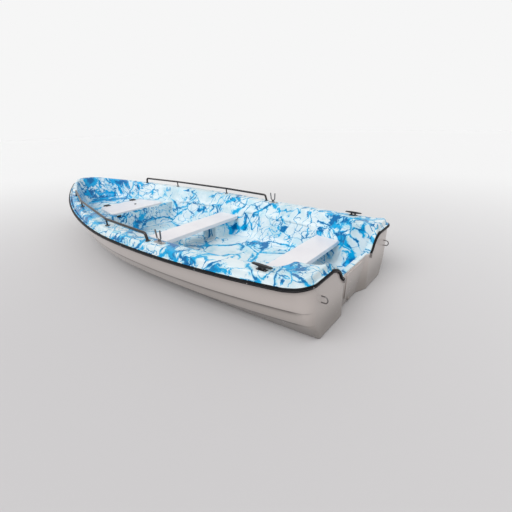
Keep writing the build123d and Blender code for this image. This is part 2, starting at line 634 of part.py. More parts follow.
# Motor pad on the leaning panel, and the drain plug below it.
PAD_THICK = 5.0
panel_plane = Plane((station(recess(0)), 0, 0), x_dir=(0, -1, 0), z_dir=(-1, 0, -PANEL_LEAN))
with BuildPart() as motor_pad:
    with BuildSketch(panel_plane) as pad:
        with BuildLine():
            Polyline((-112, 70), (112, 70), (148, 296), (-148, 296), close=True)
        make_face()
        fillet(pad.vertices().group_by(Axis.Y)[0], 8)
        fillet(pad.vertices().group_by(Axis.Y)[-1], 26)
    extrude(amount=PAD_THICK)
motor_pad.part.label = "motor_pad"
export_step(motor_pad.part, "parts/motor_pad.step")

with BuildPart() as drain_plug:
    with BuildSketch(panel_plane):
        with Locations((-30, 34)):
            Circle(15)
    extrude(amount=6)
    with BuildSketch(panel_plane.offset(6)):
        with Locations((-30, 34)):
            RegularPolygon(8, 6)
    extrude(amount=5)
drain_plug.part.label = "drain_plug"
export_step(drain_plug.part, "parts/drain_plug.step")

with BuildPart() as end_caps:
    for side in (1, -1):
        with Locations((station(0.0), side * 240.0, 300.0)):
            Box(RUBBER_OUT + 3, 12, 36, align=(Align.MAX, Align.CENTER, Align.CENTER))
    add(rub_rail.part, mode=Mode.SUBTRACT)
end_caps.part.label = "rub_rail_end_caps"
export_step(end_caps.part, "parts/rub_rail_end_caps.step")
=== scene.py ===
"""Moulded plastic rowing boat: its skins, rub rail, screws and finishes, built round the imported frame."""
import math

import bmesh
import bpy
import numpy as np
from bpy.props import FloatProperty, FloatVectorProperty, IntProperty, PointerProperty
from mathutils import Matrix, Vector


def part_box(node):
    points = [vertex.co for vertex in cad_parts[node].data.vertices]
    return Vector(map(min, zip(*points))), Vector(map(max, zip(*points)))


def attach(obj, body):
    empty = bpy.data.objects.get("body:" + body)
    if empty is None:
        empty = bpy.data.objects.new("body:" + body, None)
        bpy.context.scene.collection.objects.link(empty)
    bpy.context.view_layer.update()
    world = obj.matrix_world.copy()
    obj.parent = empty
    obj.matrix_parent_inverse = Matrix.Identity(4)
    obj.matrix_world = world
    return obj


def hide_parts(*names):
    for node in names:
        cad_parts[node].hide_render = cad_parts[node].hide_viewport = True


bl_info = {
    "name": "Moulded Rowing Boat",
    "version": (1, 0, 0),
    "blender": (4, 5, 0),
    "location": "3D View > Sidebar > Boat",
    "description": "Skins, rub rail, fastenings and finishes of a moulded plastic rowing boat",
    "category": "Add Mesh",
}

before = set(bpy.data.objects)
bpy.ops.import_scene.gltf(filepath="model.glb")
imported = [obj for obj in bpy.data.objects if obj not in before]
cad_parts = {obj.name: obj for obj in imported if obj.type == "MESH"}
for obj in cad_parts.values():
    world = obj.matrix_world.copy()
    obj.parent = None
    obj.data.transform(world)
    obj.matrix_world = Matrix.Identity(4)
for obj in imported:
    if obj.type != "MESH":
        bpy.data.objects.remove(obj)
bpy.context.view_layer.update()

MM = 1000.0                    # millimetres in a metre
# The lines of the boat, in millimetres. Stations run forward from the transom's aft faces.
MIDDLE = 2058.0                # station of the frame's origin
WIDEST = 1767.0                # station where the sides are widest
FIRST_RADIUS = 3646.0          # the sides' bend forward of that station
FIRST_TURN = 0.117             # and the angle that it turns through
RAIL_CORNER = 112.0            # radius of the rub rail's stern corners
RAIL_PLAN = (835.5, 143.0, 4150.0, 190.0, RAIL_CORNER)     # its half breadth, stern taper, bow tip and radii
# (station, height) of three points on the arc of the rub rail's centre; its height across the transom
SHEER = [(150.0, 404.0), (1600.0, 376.0), (4210.0, 516.0)]
SHEER_STERN = 432.0
STERN_RISE = (12.0, 150.0)     # stations between which the sheer drops from the transom
RISE_BLEND = 22.0              # rounding on each side of those stations
# height over the half breadth, along the motor notch: of the hull's edge, and of the liner's top
NOTCH = [(0, 312), (200, 312), (238, 313), (262, 324), (302, 378), (345, 412), (410, 432), (450, 432),
         (900, 432)]
SILL = [(0, 321), (215, 321), (238, 327), (262, 351), (302, 406), (345, 442), (400, 474), (440, 489),
        (470, 600)]
NOTCH_REACH = (200.0, 450.0)   # the station and half breadth that the notch keeps within
SILL_REACH = (270.0, 470.0)
PANEL_SIDE = 228.0             # half breadth of the motor panel's recess at the aft faces
PANEL_DEPTHS = (8.0, 46.0)     # least depth of the recess, and its depth at the ground
PANEL_LEAN = 0.106             # how fast the recess grows shallower upward
PANEL_HALVES = (120.0, 205.0)  # half breadth of the panel at the ground, and the most it grows to
PANEL_FLARE = 0.25             # how fast that breadth grows upward
EDGE_SOFT = 9.0                # softening of the upright edges beside the motor panel
TRANSOM_STEPS = (8, 2, 26)     # columns across the panel, its side and the aft face
EDGE_STEPS = 4                 # and round each of those edges
# (station, height) of three points on the arc of each strake's lower edge
LOWER_STEP = [(-60.0, 152.0), (1200.0, 120.0), (4210.0, 335.0)]
UPPER_STEP = [(-60.0, 253.0), (1300.0, 212.0), (4210.0, 424.0)]
# (height, half breadth, stern taper, bow tip, tip radius, corner radius) of each strake's level outlines
BOTTOM = [(0, 606, 74, 3400, 230, 20), (130, 727, 110, 3790, 200, 45), (345, 775, 120, 4025, 180, 60)]
LOWER = [(90, 729, 112, 3760, 205, 45), (215, 770, 125, 3985, 190, 70), (440, 812, 134, 4108, 175, 90)]
UPPER = [(180, 771, 125, 3950, 195, 70), (376, 817, 140, 4096, 178, 105), (560, 830, 150, 4142, 168, 110)]
# (height, half breadth, stern taper, bow tip, tip radius, corner radius, aft station) of the cockpit's inside
TUB = [(70, 487, 50, 3640, 190, 110, 330), (322, 588, 84, 3895, 195, 120, 285),
       (340, 622, 96, 3925, 192, 125, 262), (560, 742, 118, 4040, 190, 130, 225)]
WELL = [(70, 405, 95), (560, 462, 20)]     # (height, half breadth, aft station) of the stern well
SOLE = 70.0                    # heights of the cockpit's floor and of the bow deck
BOW_DECK = 300.0
LOCKER_FACE = 2790.0           # station of the bow locker's aft face
# the sunk wall panels: (aft, fore) stations, lower and upper height, radius of the corners
WALL_PANELS = [(690.0, 1195.0), (1340.0, 1660.0), (2010.0, 2700.0)]
PANEL_HEIGHTS = (105.0, 304.0)
PANEL_CORNER = 85.0
PANEL_ZONE = (75.0, 321.0, 300.0)      # heights and least half breadth within which the walls may be sunk


def arc_height(points, s):
    """Height at stations s of the circular arc through three (station, height) points."""
    (x1, z1), (x2, z2), (x3, z3) = points
    left, right = (x2 - x1, z2 - z1), (x3 - x2, z3 - z2)
    cross = 2 * (left[0] * right[1] - left[1] * right[0])
    q1, q2, q3 = x1 * x1 + z1 * z1, x2 * x2 + z2 * z2, x3 * x3 + z3 * z3
    cx = ((q2 - q1) * right[1] - (q3 - q2) * left[1]) / cross
    cz = ((q3 - q2) * left[0] - (q2 - q1) * right[0]) / cross
    return cz - np.sqrt((x1 - cx) ** 2 + (z1 - cz) ** 2 - (np.asarray(s, float) - cx) ** 2)


def kinked(s, at, before, after):
    """What a slope change at a station adds, rounded over RISE_BLEND on each side."""
    s = np.asarray(s, float)
    x = np.clip((s - at) / RISE_BLEND, -1, 1)
    rounded = RISE_BLEND * (x + 1) ** 2 / 4
    bent = np.where(s < at - RISE_BLEND, 0, rounded)
    return (after - before) * np.where(s > at + RISE_BLEND, s - at, bent)


def sheer(s):
    """Height of the rub rail's centre, with its rise at the stern."""
    s = np.asarray(s, float)
    start, end = STERN_RISE
    slope = (SHEER[0][1] - SHEER_STERN) / (end - start)
    stern = SHEER_STERN + kinked(s, start, 0.0, slope)
    climb = arc_height(SHEER, end + 1) - arc_height(SHEER, end)
    forward = arc_height(SHEER, np.maximum(s, end))
    return np.where(s < end + RISE_BLEND, stern + kinked(s, end, slope, climb), forward)


def smooth_line(points, x):
    """Monotone cubic through (x, height) points."""
    px, pz = (np.array(v, float) for v in zip(*points))
    step, rise = np.diff(px), np.diff(pz)
    slope = rise / step
    tangent = np.zeros_like(px)
    both = slope[:-1] * slope[1:] > 0
    tangent[1:-1][both] = 2 * slope[:-1][both] * slope[1:][both] / (slope[:-1][both] + slope[1:][both])
    x = np.clip(np.abs(np.asarray(x, float)), px[0], px[-1])
    k = np.clip(np.searchsorted(px, x, side="right") - 1, 0, len(px) - 2)
    t = (x - px[k]) / step[k]
    return ((1 + 2 * t) * (1 - t) ** 2 * pz[k] + t * (1 - t) ** 2 * step[k] * tangent[k]
            + t * t * (3 - 2 * t) * pz[k + 1] + t * t * (t - 1) * step[k] * tangent[k + 1])


def edge_height(plan):
    """Height of the hull's edge, lower along the motor notch."""
    s, y = plan[:, 0], plan[:, 1]
    within = (s < NOTCH_REACH[0]) & (abs(y) < NOTCH_REACH[1])
    return np.where(within, np.minimum(smooth_line(NOTCH, y), sheer(s)), sheer(s))


def top_height(plan, tall):
    """Height of the gunwale's top, lower along the motor notch and its sill."""
    s, y = plan[:, 0], plan[:, 1]
    deck = sheer(s) + tall
    within = (s < SILL_REACH[0]) & (abs(y) < SILL_REACH[1])
    return np.where(within, np.minimum(deck, smooth_line(SILL, y)), deck)


def plan_arcs(half, taper, tip, tip_radius, corner_radius, aft=0.0):
    """Arcs (centre, radius, start, end) of one side of a level outline, from the transom to the bow tip."""
    side_radius = (WIDEST - aft) ** 2 / (2 * taper)
    side_centre = (WIDEST, half - side_radius)
    corner_x = aft + corner_radius
    corner_y = side_centre[1] + math.sqrt((side_radius - corner_radius) ** 2 - (WIDEST - corner_x) ** 2)
    turn = math.asin((WIDEST - corner_x) / (side_radius - corner_radius))
    joint = (WIDEST + FIRST_RADIUS * math.sin(FIRST_TURN), half - FIRST_RADIUS * (1 - math.cos(FIRST_TURN)))
    tip_centre = (tip - tip_radius, 0.0)
    back = (joint[0] - tip_centre[0], joint[1] - tip_centre[1])
    inward = (-math.sin(FIRST_TURN), -math.cos(FIRST_TURN))
    along = back[0] * inward[0] + back[1] * inward[1]
    second_radius = (tip_radius ** 2 - back[0] ** 2 - back[1] ** 2) / (2 * (along + tip_radius))
    second_centre = (joint[0] + second_radius * inward[0], joint[1] + second_radius * inward[1])
    last_turn = math.atan2(tip_centre[0] - second_centre[0], tip_centre[1] - second_centre[1])
    return [((corner_x, corner_y), corner_radius, -math.pi / 2, -turn),
            (side_centre, side_radius, -turn, 0.0),
            ((WIDEST, half - FIRST_RADIUS), FIRST_RADIUS, 0.0, FIRST_TURN),
            (second_centre, second_radius, FIRST_TURN, last_turn),
            (tip_centre, tip_radius, last_turn, math.pi / 2)]


ARC_STEPS = (12, 44, 14, 34, 14)      # columns along each arc


def arc_points(arc, steps):
    (cx, cy), radius, start, end = arc
    t = np.linspace(start, end, steps + 1)
    return np.stack([cx + radius * np.sin(t), cy + radius * np.cos(t)], 1)


def arcs_run(arcs, steps):
    """Plan points and outward directions along arcs, without each arc's first."""
    points = np.vstack([arc_points(arc, count)[1:] for arc, count in zip(arcs, steps)])
    t = np.hstack([np.linspace(arc[2], arc[3], count + 1)[1:] for arc, count in zip(arcs, steps)])
    return points, np.stack([np.sin(t), np.cos(t)], 1)


def joined(*runs):
    """Runs of plan points as one, without the points they share."""
    return np.vstack([runs[0]] + [run[1:] for run in runs[1:]])


def side_run(level, aft=0.0, first=0):
    """Plan points from the transom's corner to the bow tip."""
    arcs = plan_arcs(*level, aft=aft)
    return joined(*[arc_points(arc, steps) for arc, steps in list(zip(arcs, ARC_STEPS))[first:]])


def straight(a, b, steps):
    t = np.linspace(0, 1, steps + 1)[:, None]
    return np.array(a, float) * (1 - t) + np.array(b, float) * t


def bezier_rows(a, corner, b, steps):
    """Rows, or single points, that round a corner from a to b."""
    ts = np.linspace(0, 1, steps + 1)
    return [a * (1 - t) ** 2 + 2 * corner * t * (1 - t) + b * t * t for t in ts]


def eased(a, corner, b, steps):
    """Plan points round a softened corner from a to b."""
    return np.array(bezier_rows(*(np.array(point, float) for point in (a, corner, b)), steps))


def toward(a, b, distance):
    a, b = np.array(a, float), np.array(b, float)
    return a + (b - a) * min(distance / np.linalg.norm(b - a), 0.49)


def softened(corners, soft, steps, turn_steps):
    """Plan points along a line of corners whose inner ones are softened, with the steps of each straight."""
    parts, start = [], corners[0]
    for before, corner, after, count in zip(corners, corners[1:], corners[2:], steps):
        a, b = toward(corner, before, soft), toward(corner, after, soft)
        parts += [straight(start, a, count), eased(a, corner, b, turn_steps)]
        start = b
    return joined(*parts, straight(start, corners[-1], steps[-1]))


def lengths_along(points):
    """Distance of each point from the first, along the line through them."""
    return np.r_[0, np.cumsum(np.linalg.norm(np.diff(points, axis=0), axis=1))]


def sampled(points, gaps, at):
    """Points at distances along a line, where gaps are its own points' distances."""
    return np.stack([np.interp(at, gaps, column) for column in points.T], 1)


def path_by_length(points, steps):
    """Plan points spread evenly along a run."""
    gaps = lengths_along(points)
    return sampled(points, gaps, np.linspace(0, gaps[-1], steps + 1))


def whole(half):
    """Closed outline from its port half, which runs from the stern's middle to the bow's."""
    mirrored = half[-2:0:-1].copy()
    mirrored[:, 1] *= -1
    return np.vstack([half, mirrored])


def panel_depth(z):
    """Depth of the motor panel behind the aft faces."""
    return np.maximum(PANEL_DEPTHS[0], PANEL_DEPTHS[1] - PANEL_LEAN * z)


def hull_ring(level, inset=0.0):
    """Closed plan outline of the hull's outside at one of its levels, drawn in by inset."""
    z, half, taper, tip, tip_radius, corner_radius = level
    shape = (half - inset, taper, tip - inset, tip_radius - inset, max(corner_radius - inset, 2.0))
    sides = side_run(shape, inset)
    depth = panel_depth(z) + inset
    inner = min(PANEL_HALVES[1], PANEL_HALVES[0] + PANEL_FLARE * z)
    corners = [(depth, 0), (depth, inner), (inset, PANEL_SIDE), tuple(sides[0])]
    return whole(joined(softened(corners, EDGE_SOFT, TRANSOM_STEPS, EDGE_STEPS), sides))


LEVEL_ROUNDS = 14          # rounds in which a column's height settles on a curve


class Strake:
    """Ruled surface through level outlines of the hull's outside."""

    def __init__(self, levels, inset=0.0):
        self.heights = [level[0] for level in levels]
        self.rings = [hull_ring(level, inset) for level in levels]

    def at(self, z):
        """Plan points of every column, each at its own height."""
        z = np.broadcast_to(np.asarray(z, float), (len(self.rings[0]),))
        out = np.zeros_like(self.rings[0])
        for k in range(len(self.heights) - 1):
            low, high = self.heights[k], self.heights[k + 1]
            t = ((z - low) / (high - low))[:, None]
            here = np.ones(len(z), bool) if k == 0 else z >= low
            out[here] = (self.rings[k] * (1 - t) + self.rings[k + 1] * t)[here]
        return out

    def row(self, z):
        z = np.broadcast_to(np.asarray(z, float), (len(self.rings[0]),))
        return np.column_stack([self.at(z), z])

    def level_of(self, curve, guess):
        """Height of every column where a curve over its plan points crosses it, from a first guess."""
        z = np.full(len(self.rings[0]), float(guess))
        for _ in range(LEVEL_ROUNDS):
            z = curve(self.at(z))
        return z


def between(a, b, steps):
    """Rows between two rows, without the two."""
    return [a * (1 - t) + b * t for t in np.linspace(0, 1, steps + 1)[1:-1]]


def shifted(a, b, distance):
    """Row a moved toward row b by a distance, or half way where they are near."""
    gap = np.linalg.norm(b - a, axis=1, keepdims=True)
    return a + (b - a) * np.minimum(distance / np.maximum(gap, 1e-6), 0.5)


def at_height(plan, z):
    """Plan points lifted to one height."""
    return np.column_stack([plan, np.full(len(plan), float(z))])


def in_metres(points):
    """Station, port and height in millimetres as places in the frame."""
    return (np.asarray(points, float) - (MIDDLE, 0, 0)) / MM


def linked(name, data):
    """A new object of the scene."""
    obj = bpy.data.objects.new(name, data)
    bpy.context.scene.collection.objects.link(obj)
    return obj


def smoothed(mesh, degrees):
    """Shades a mesh smooth but for the edges sharper than an angle."""
    mesh.polygons.foreach_set("use_smooth", [True] * len(mesh.polygons))
    mesh.set_sharp_from_angle(angle=math.radians(degrees))


def mesh_from(name, rows, faces, look):
    """Object from rows of station, port and height points in millimetres."""
    mesh = bpy.data.meshes.new(name)
    mesh.from_pydata(in_metres(np.vstack(rows)).tolist(), [], faces)
    mesh.validate()
    mesh.materials.append(finish(look))
    return linked(name, mesh)


def ring_faces(rows, flip=False, start=0):
    """Quads between closed rows of points, the first of which has the number start."""
    faces, columns = [], len(rows[0])
    for low in range(start, start + (len(rows) - 1) * columns, columns):
        for c in range(columns):
            d = (c + 1) % columns
            quad = (low + c, low + d, low + columns + d, low + columns + c)
            faces.append(quad[::-1] if flip else quad)
    return faces


def row_face(rows, index, start=0):
    """One face over a whole row."""
    columns = len(rows[0])
    first = start + index * columns
    return tuple(range(first, first + columns))


def settled(obj):
    """The object with its modifiers made part of a plain mesh."""
    graph = bpy.context.evaluated_depsgraph_get()
    final = obj.evaluated_get(graph)
    mesh = bpy.data.meshes.new_from_object(final, preserve_all_data_layers=True, depsgraph=graph)
    old = obj.data
    obj.modifiers.clear()
    obj.data = mesh
    mesh.name = obj.name
    bpy.data.meshes.remove(old)
    return obj


def thickened(obj, thickness):
    """A skin given its thickness on the side away from its faces."""
    wall = obj.modifiers.new("wall", "SOLIDIFY")
    wall.thickness = thickness
    wall.offset = -1
    return settled(obj)


class Editing:
    """A mesh open for changes by bmesh, which are written back at the end."""

    def __init__(self, mesh):
        self.mesh, self.work = mesh, bmesh.new()

    def __enter__(self):
        self.work.from_mesh(self.mesh)
        return self.work

    def __exit__(self, *error):
        self.work.to_mesh(self.mesh)
        self.work.free()


def merged(mesh, turn_out=False):
    """A mesh with its doubles merged and no slivers; a closed one may have its faces turned out."""
    with Editing(mesh) as work:
        bmesh.ops.remove_doubles(work, verts=work.verts, dist=1e-5)
        bmesh.ops.dissolve_degenerate(work, edges=work.edges, dist=1e-6)
        if turn_out:
            bmesh.ops.recalc_face_normals(work, faces=work.faces)


def riding(piece, *nodes, slot=None, body="boat"):
    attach(piece, body)
    if nodes:
        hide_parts(*nodes)
    return piece


# ---------------------------------------------------------------- node trees

class Value:
    """A socket of a node tree that takes part in arithmetic."""

    def __init__(self, owner, socket):
        self.owner, self.socket = owner, socket

    def math(self, operation, *others):
        return self.owner.node("ShaderNodeMath", {"operation": operation}, [self, *others])[0]

    def __add__(self, other):
        return self.math("ADD", other)

    def __sub__(self, other):
        return self.math("SUBTRACT", other)

    def __rsub__(self, other):
        return self.owner.node("ShaderNodeMath", {"operation": "SUBTRACT"}, [other, self])[0]

    def __mul__(self, other):
        return self.math("MULTIPLY", other)

    __radd__ = __add__
    __rmul__ = __mul__

    def above(self, low, high):
        """0 under low and 1 over high, smooth between them; reversed where high is the lower."""
        ends = (0.0, 1.0) if low <= high else (1.0, 0.0)
        span = [self, min(low, high), max(low, high), *ends]
        return self.owner.node("ShaderNodeMapRange", {"interpolation_type": "SMOOTHSTEP"}, span)[0]


class Tree:
    """A node tree being built."""

    def __init__(self, tree):
        self.tree = tree

    def node(self, kind, settings=None, sockets=()):
        """Outputs of a new node: its settings come first, then the values or links of its sockets."""
        node = self.tree.nodes.new(kind)
        for key, value in (settings or {}).items():
            setattr(node, key, value)
        pairs = sockets.items() if isinstance(sockets, dict) else enumerate(sockets)
        for key, value in pairs:
            self.join(value, node.inputs[key])
        return [Value(self, socket) for socket in node.outputs]

    def join(self, value, socket):
        """Links a socket to a value or to a list of them, or sets it to something plain."""
        for item in value if isinstance(value, list) else [value]:
            if isinstance(item, Value):
                self.tree.links.new(item.socket, socket)
            elif item is not None:
                socket.default_value = item

    def outputs(self, kind):
        """Outputs of a new node by their names."""
        return {value.socket.name: value for value in self.node(kind)}

    def seen(self):
        """1 where the camera looks, straight on, in a mirror or through glass."""
        rays = self.outputs("ShaderNodeLightPath")
        return rays["Is Camera Ray"] + rays["Is Glossy Ray"] + rays["Is Transmission Ray"]


class Finish(Tree):
    """A node material being built."""

    def __init__(self, name):
        self.material = bpy.data.materials.new(name)
        self.material.use_nodes = True
        super().__init__(self.material.node_tree)
        self.shader = self.tree.nodes["Principled BSDF"]
        self.place = self.outputs("ShaderNodeTexCoord")["Object"]

    def vector(self, operation, *values):
        return self.node("ShaderNodeVectorMath", {"operation": operation}, list(values))[0]

    def distance(self, a, b):
        return self.node("ShaderNodeVectorMath", {"operation": "DISTANCE"}, [a, b])[1]

    def upright(self, vector):
        """The vertical part of a vector."""
        return self.node("ShaderNodeSeparateXYZ", None, [vector])[2]

    def scaled(self, place, x, y, z):
        return self.vector("MULTIPLY", place, (x, y, z))

    def moved(self, place, *offset):
        return self.vector("ADD", place, offset)

    def noise(self, place, scale, detail=3.0, rough=0.5, part=0):
        """Noise as a number, or as a colour where part is 1."""
        sockets = {"Vector": place, "Scale": scale, "Detail": detail, "Roughness": rough}
        return self.node("ShaderNodeTexNoise", None, sockets)[part]

    def cells(self, place, scale, feature="F1"):
        return self.node("ShaderNodeTexVoronoi", {"feature": feature}, {"Vector": place, "Scale": scale})[0]

    def warped(self, place, scale, amount, detail=2.0, rough=0.5):
        """Places moved about by noise."""
        drift = self.noise(place, scale, detail, rough, part=1)
        centred = self.vector("SUBTRACT", drift, (0.5, 0.5, 0.5))
        return self.vector("ADD", place, self.scaled(centred, amount, amount, amount))

    def mix(self, factor, a, b):
        """Colour b over a by a factor."""
        sockets = {0: factor, 6: tinted(a), 7: tinted(b)}
        return self.node("ShaderNodeMix", {"data_type": "RGBA"}, sockets)[2]

    def strongest(self, masks):
        """The strongest of several masks at each place."""
        total = masks[0]
        for mask in masks[1:]:
            total = total.math("MAXIMUM", mask)
        return total

    def bump(self, height, distance, strength):
        sockets = {"Height": height, "Distance": distance, "Strength": strength}
        return self.node("ShaderNodeBump", None, sockets)[0]

    def done(self, color, roughness, normal=None, **constants):
        """The material, with what varies over it and the shader's other sockets."""
        for socket, value in (("Base Color", tinted(color)), ("Roughness", roughness), ("Normal", normal)):
            self.join(value, self.shader.inputs[socket])
        for key, value in constants.items():
            self.shader.inputs[key.replace("_", " ")].default_value = value
        return self.material


def tinted(color):
    """A colour as a shader takes it, with its alpha, or the link that gives it."""
    return color if isinstance(color, Value) else (*color[:3], 1.0)


def linear(*rgb):
    """A display colour of 0 to 255 as the numbers a shader takes."""
    return tuple(((c / 255 + 0.055) / 1.055) ** 2.4 if c > 10 else c / 255 / 12.92 for c in rgb)


def color_property(name, description, rgb):
    return FloatVectorProperty(name=name, description=description, subtype="COLOR", size=3, min=0, max=1,
                               default=linear(*rgb))


def number_property(name, description, default, **limits):
    return FloatProperty(name=name, description=description, default=default, **limits)


def length_property(name, description, default):
    return number_property(name, description, default, min=0.0, unit="LENGTH", precision=4)


# ---------------------------------------------------------------- finishes

def hull_paint(settings):
    """Glossy grey-beige gelcoat, faintly uneven in tone, with light scuffs near the ground, painted shade
    darkening it towards the ground and painted shadows under its laps.
    """
    f = Finish("hull_paint")
    height = f.upright(f.place)
    fine = f.noise(f.scaled(f.place, 1, 1, 0.35), 26.0, 4.0, 0.62)
    cloud = f.noise(f.place, 1.6).above(0.3, 0.72)
    tone = f.mix(cloud * 0.35, settings.hull_color, settings.hull_shade)
    streaks = f.noise(f.scaled(f.place, 1, 1, 5.0), 9.0, 5.0, 0.7).above(0.60, 0.78)
    scuffs = streaks * height.above(0.30, 0.02)
    tone = f.mix(scuffs * 0.30, tone, settings.scuff_and_shade_color)
    specks = f.cells(f.place, 90.0).above(0.16, 0.07) * f.noise(f.place, 11.0).above(0.56, 0.68)
    tone = f.mix(specks * 0.25, tone, settings.scuff_and_shade_color)
    # painted shade: the hull grows darker towards the ground, where less light reaches it
    tone = f.mix(height.above(0.30, 0.04) * 0.66, tone, settings.scuff_and_shade_color)
    # painted shadow: a dark band under each lap, where the strake above shades the one below
    crease = f.node("ShaderNodeAttribute", {"attribute_name": "crease"})[2]
    tone = f.mix(crease * 0.8, tone, settings.lap_shadow_color)
    rough = fine * 0.10 + scuffs * 0.18 + 0.20
    ripple = f.bump(f.noise(f.place, 5.5, 2.0) + fine * 0.08, 0.0035, 0.35)
    return f.done(tone, rough, ripple, Coat_Weight=0.35, Coat_Roughness=0.08)


def white_gelcoat(settings):
    """White moulded plastic of the thwarts and the lid, with a fine pebble and faint wear."""
    f = Finish("white_gelcoat")
    cloud = f.noise(f.place, 4.0)
    pebble = f.cells(f.place, 420.0)
    tone = f.mix(cloud.above(0.35, 0.75) * 0.5, settings.white_color, settings.white_shade)
    rubbed = f.noise(f.scaled(f.place, 9.0, 2.0, 4.0), 4.0, 6.0, 0.7).above(0.60, 0.72)
    tone = f.mix(rubbed * 0.12, tone, settings.scuff_and_shade_color)
    rough = cloud * 0.12 + rubbed * 0.15 + 0.26
    return f.done(tone, rough, f.bump(pebble, 0.0004, 0.25), Specular_IOR_Level=0.3)


def black_rubber(settings):
    """Satin black extrusion, a little dusty and scuffed."""
    f = Finish("black_rubber")
    dust = f.noise(f.place, 7.0, 5.0, 0.65)
    grain = f.noise(f.place, 160.0)
    tone = f.mix(dust.above(0.45, 0.75) * 0.5, settings.rubber_color, settings.rubber_dust)
    return f.done(tone, dust * 0.2 + 0.36, f.bump(grain, 0.0004, 0.4), Specular_IOR_Level=0.12)


def black_nylon(settings):
    """Moulded black nylon of the cleats, catch, pull and hinges, and of the rub rail's insert."""
    f = Finish("black_nylon")
    grain = f.noise(f.place, 230.0)
    cloud = f.noise(f.place, 18.0).above(0.4, 0.8)
    tone = f.mix(cloud * 0.6, settings.rubber_color, settings.rubber_dust)
    return f.done(tone, grain * 0.18 + 0.34, f.bump(grain, 0.0003, 0.35))


def steel(name, tone, shade):
    """Polished marine steel with faint drawing marks and dull patches."""
    f = Finish(name)
    marks = f.noise(f.scaled(f.place, 30.0, 420.0, 420.0), 1.0, 2.0)
    dull = f.noise(f.place, 14.0)
    tone = f.mix(dull.above(0.4, 0.7) * 0.5, tone, shade)
    return f.done(tone, dull * 0.18 + marks * 0.08 + 0.14, f.bump(marks, 0.0002, 0.15), Metallic=1.0)


def bright_steel(settings):
    """The steel of the screws, the sockets and the small fittings."""
    return steel("bright_steel", settings.steel_color, settings.steel_shade)


def worn_steel(settings):
    """The greyer steel of the rowlocks and the stern eyes."""
    return steel("worn_steel", settings.steel_shade, settings.rail_color)


def dark_steel(settings):
    """The dark steel of the grab rails."""
    return steel("dark_steel", settings.rail_color, settings.rail_shade)


# where the splashes gather, as (place in metres, reach, strength)
GATHERED = [((1.75, -0.35, 0.42), 0.80, 0.17), ((0.85, 0.05, 0.20), 0.50, 0.09),
            ((-1.62, -0.62, 0.34), 0.50, 0.07), ((0.75, 0.76, 0.46), 0.95, 0.15),
            ((-0.35, 0.80, 0.43), 0.50, 0.08), ((-0.62, -0.62, 0.30), 0.30, 0.08),
            ((1.55, 0.45, 0.45), 0.70, 0.07), ((-1.85, 0.50, 0.45), 0.40, 0.06),
            ((-1.00, 0.74, 0.43), 0.80, 0.08)]
# the heights between which the splashes thin out down to the sole, and by how much
SOLE_CLEAR = (0.17, 0.08, 0.04)
# long strands, as (place in the noise, scale, most and least half width, how rare)
STRANDS = [((0.0, 0.0, 0.0), 1.5, 0.013, 0.002, 0.40), ((5.3, 2.9, 7.1), 2.7, 0.014, 0.002, 0.45),
           ((8.1, 6.2, 0.7), 5.2, 0.008, 0.004, 0.45), ((2.2, 9.1, 4.4), 9.5, 0.020, 0.005, 0.535)]


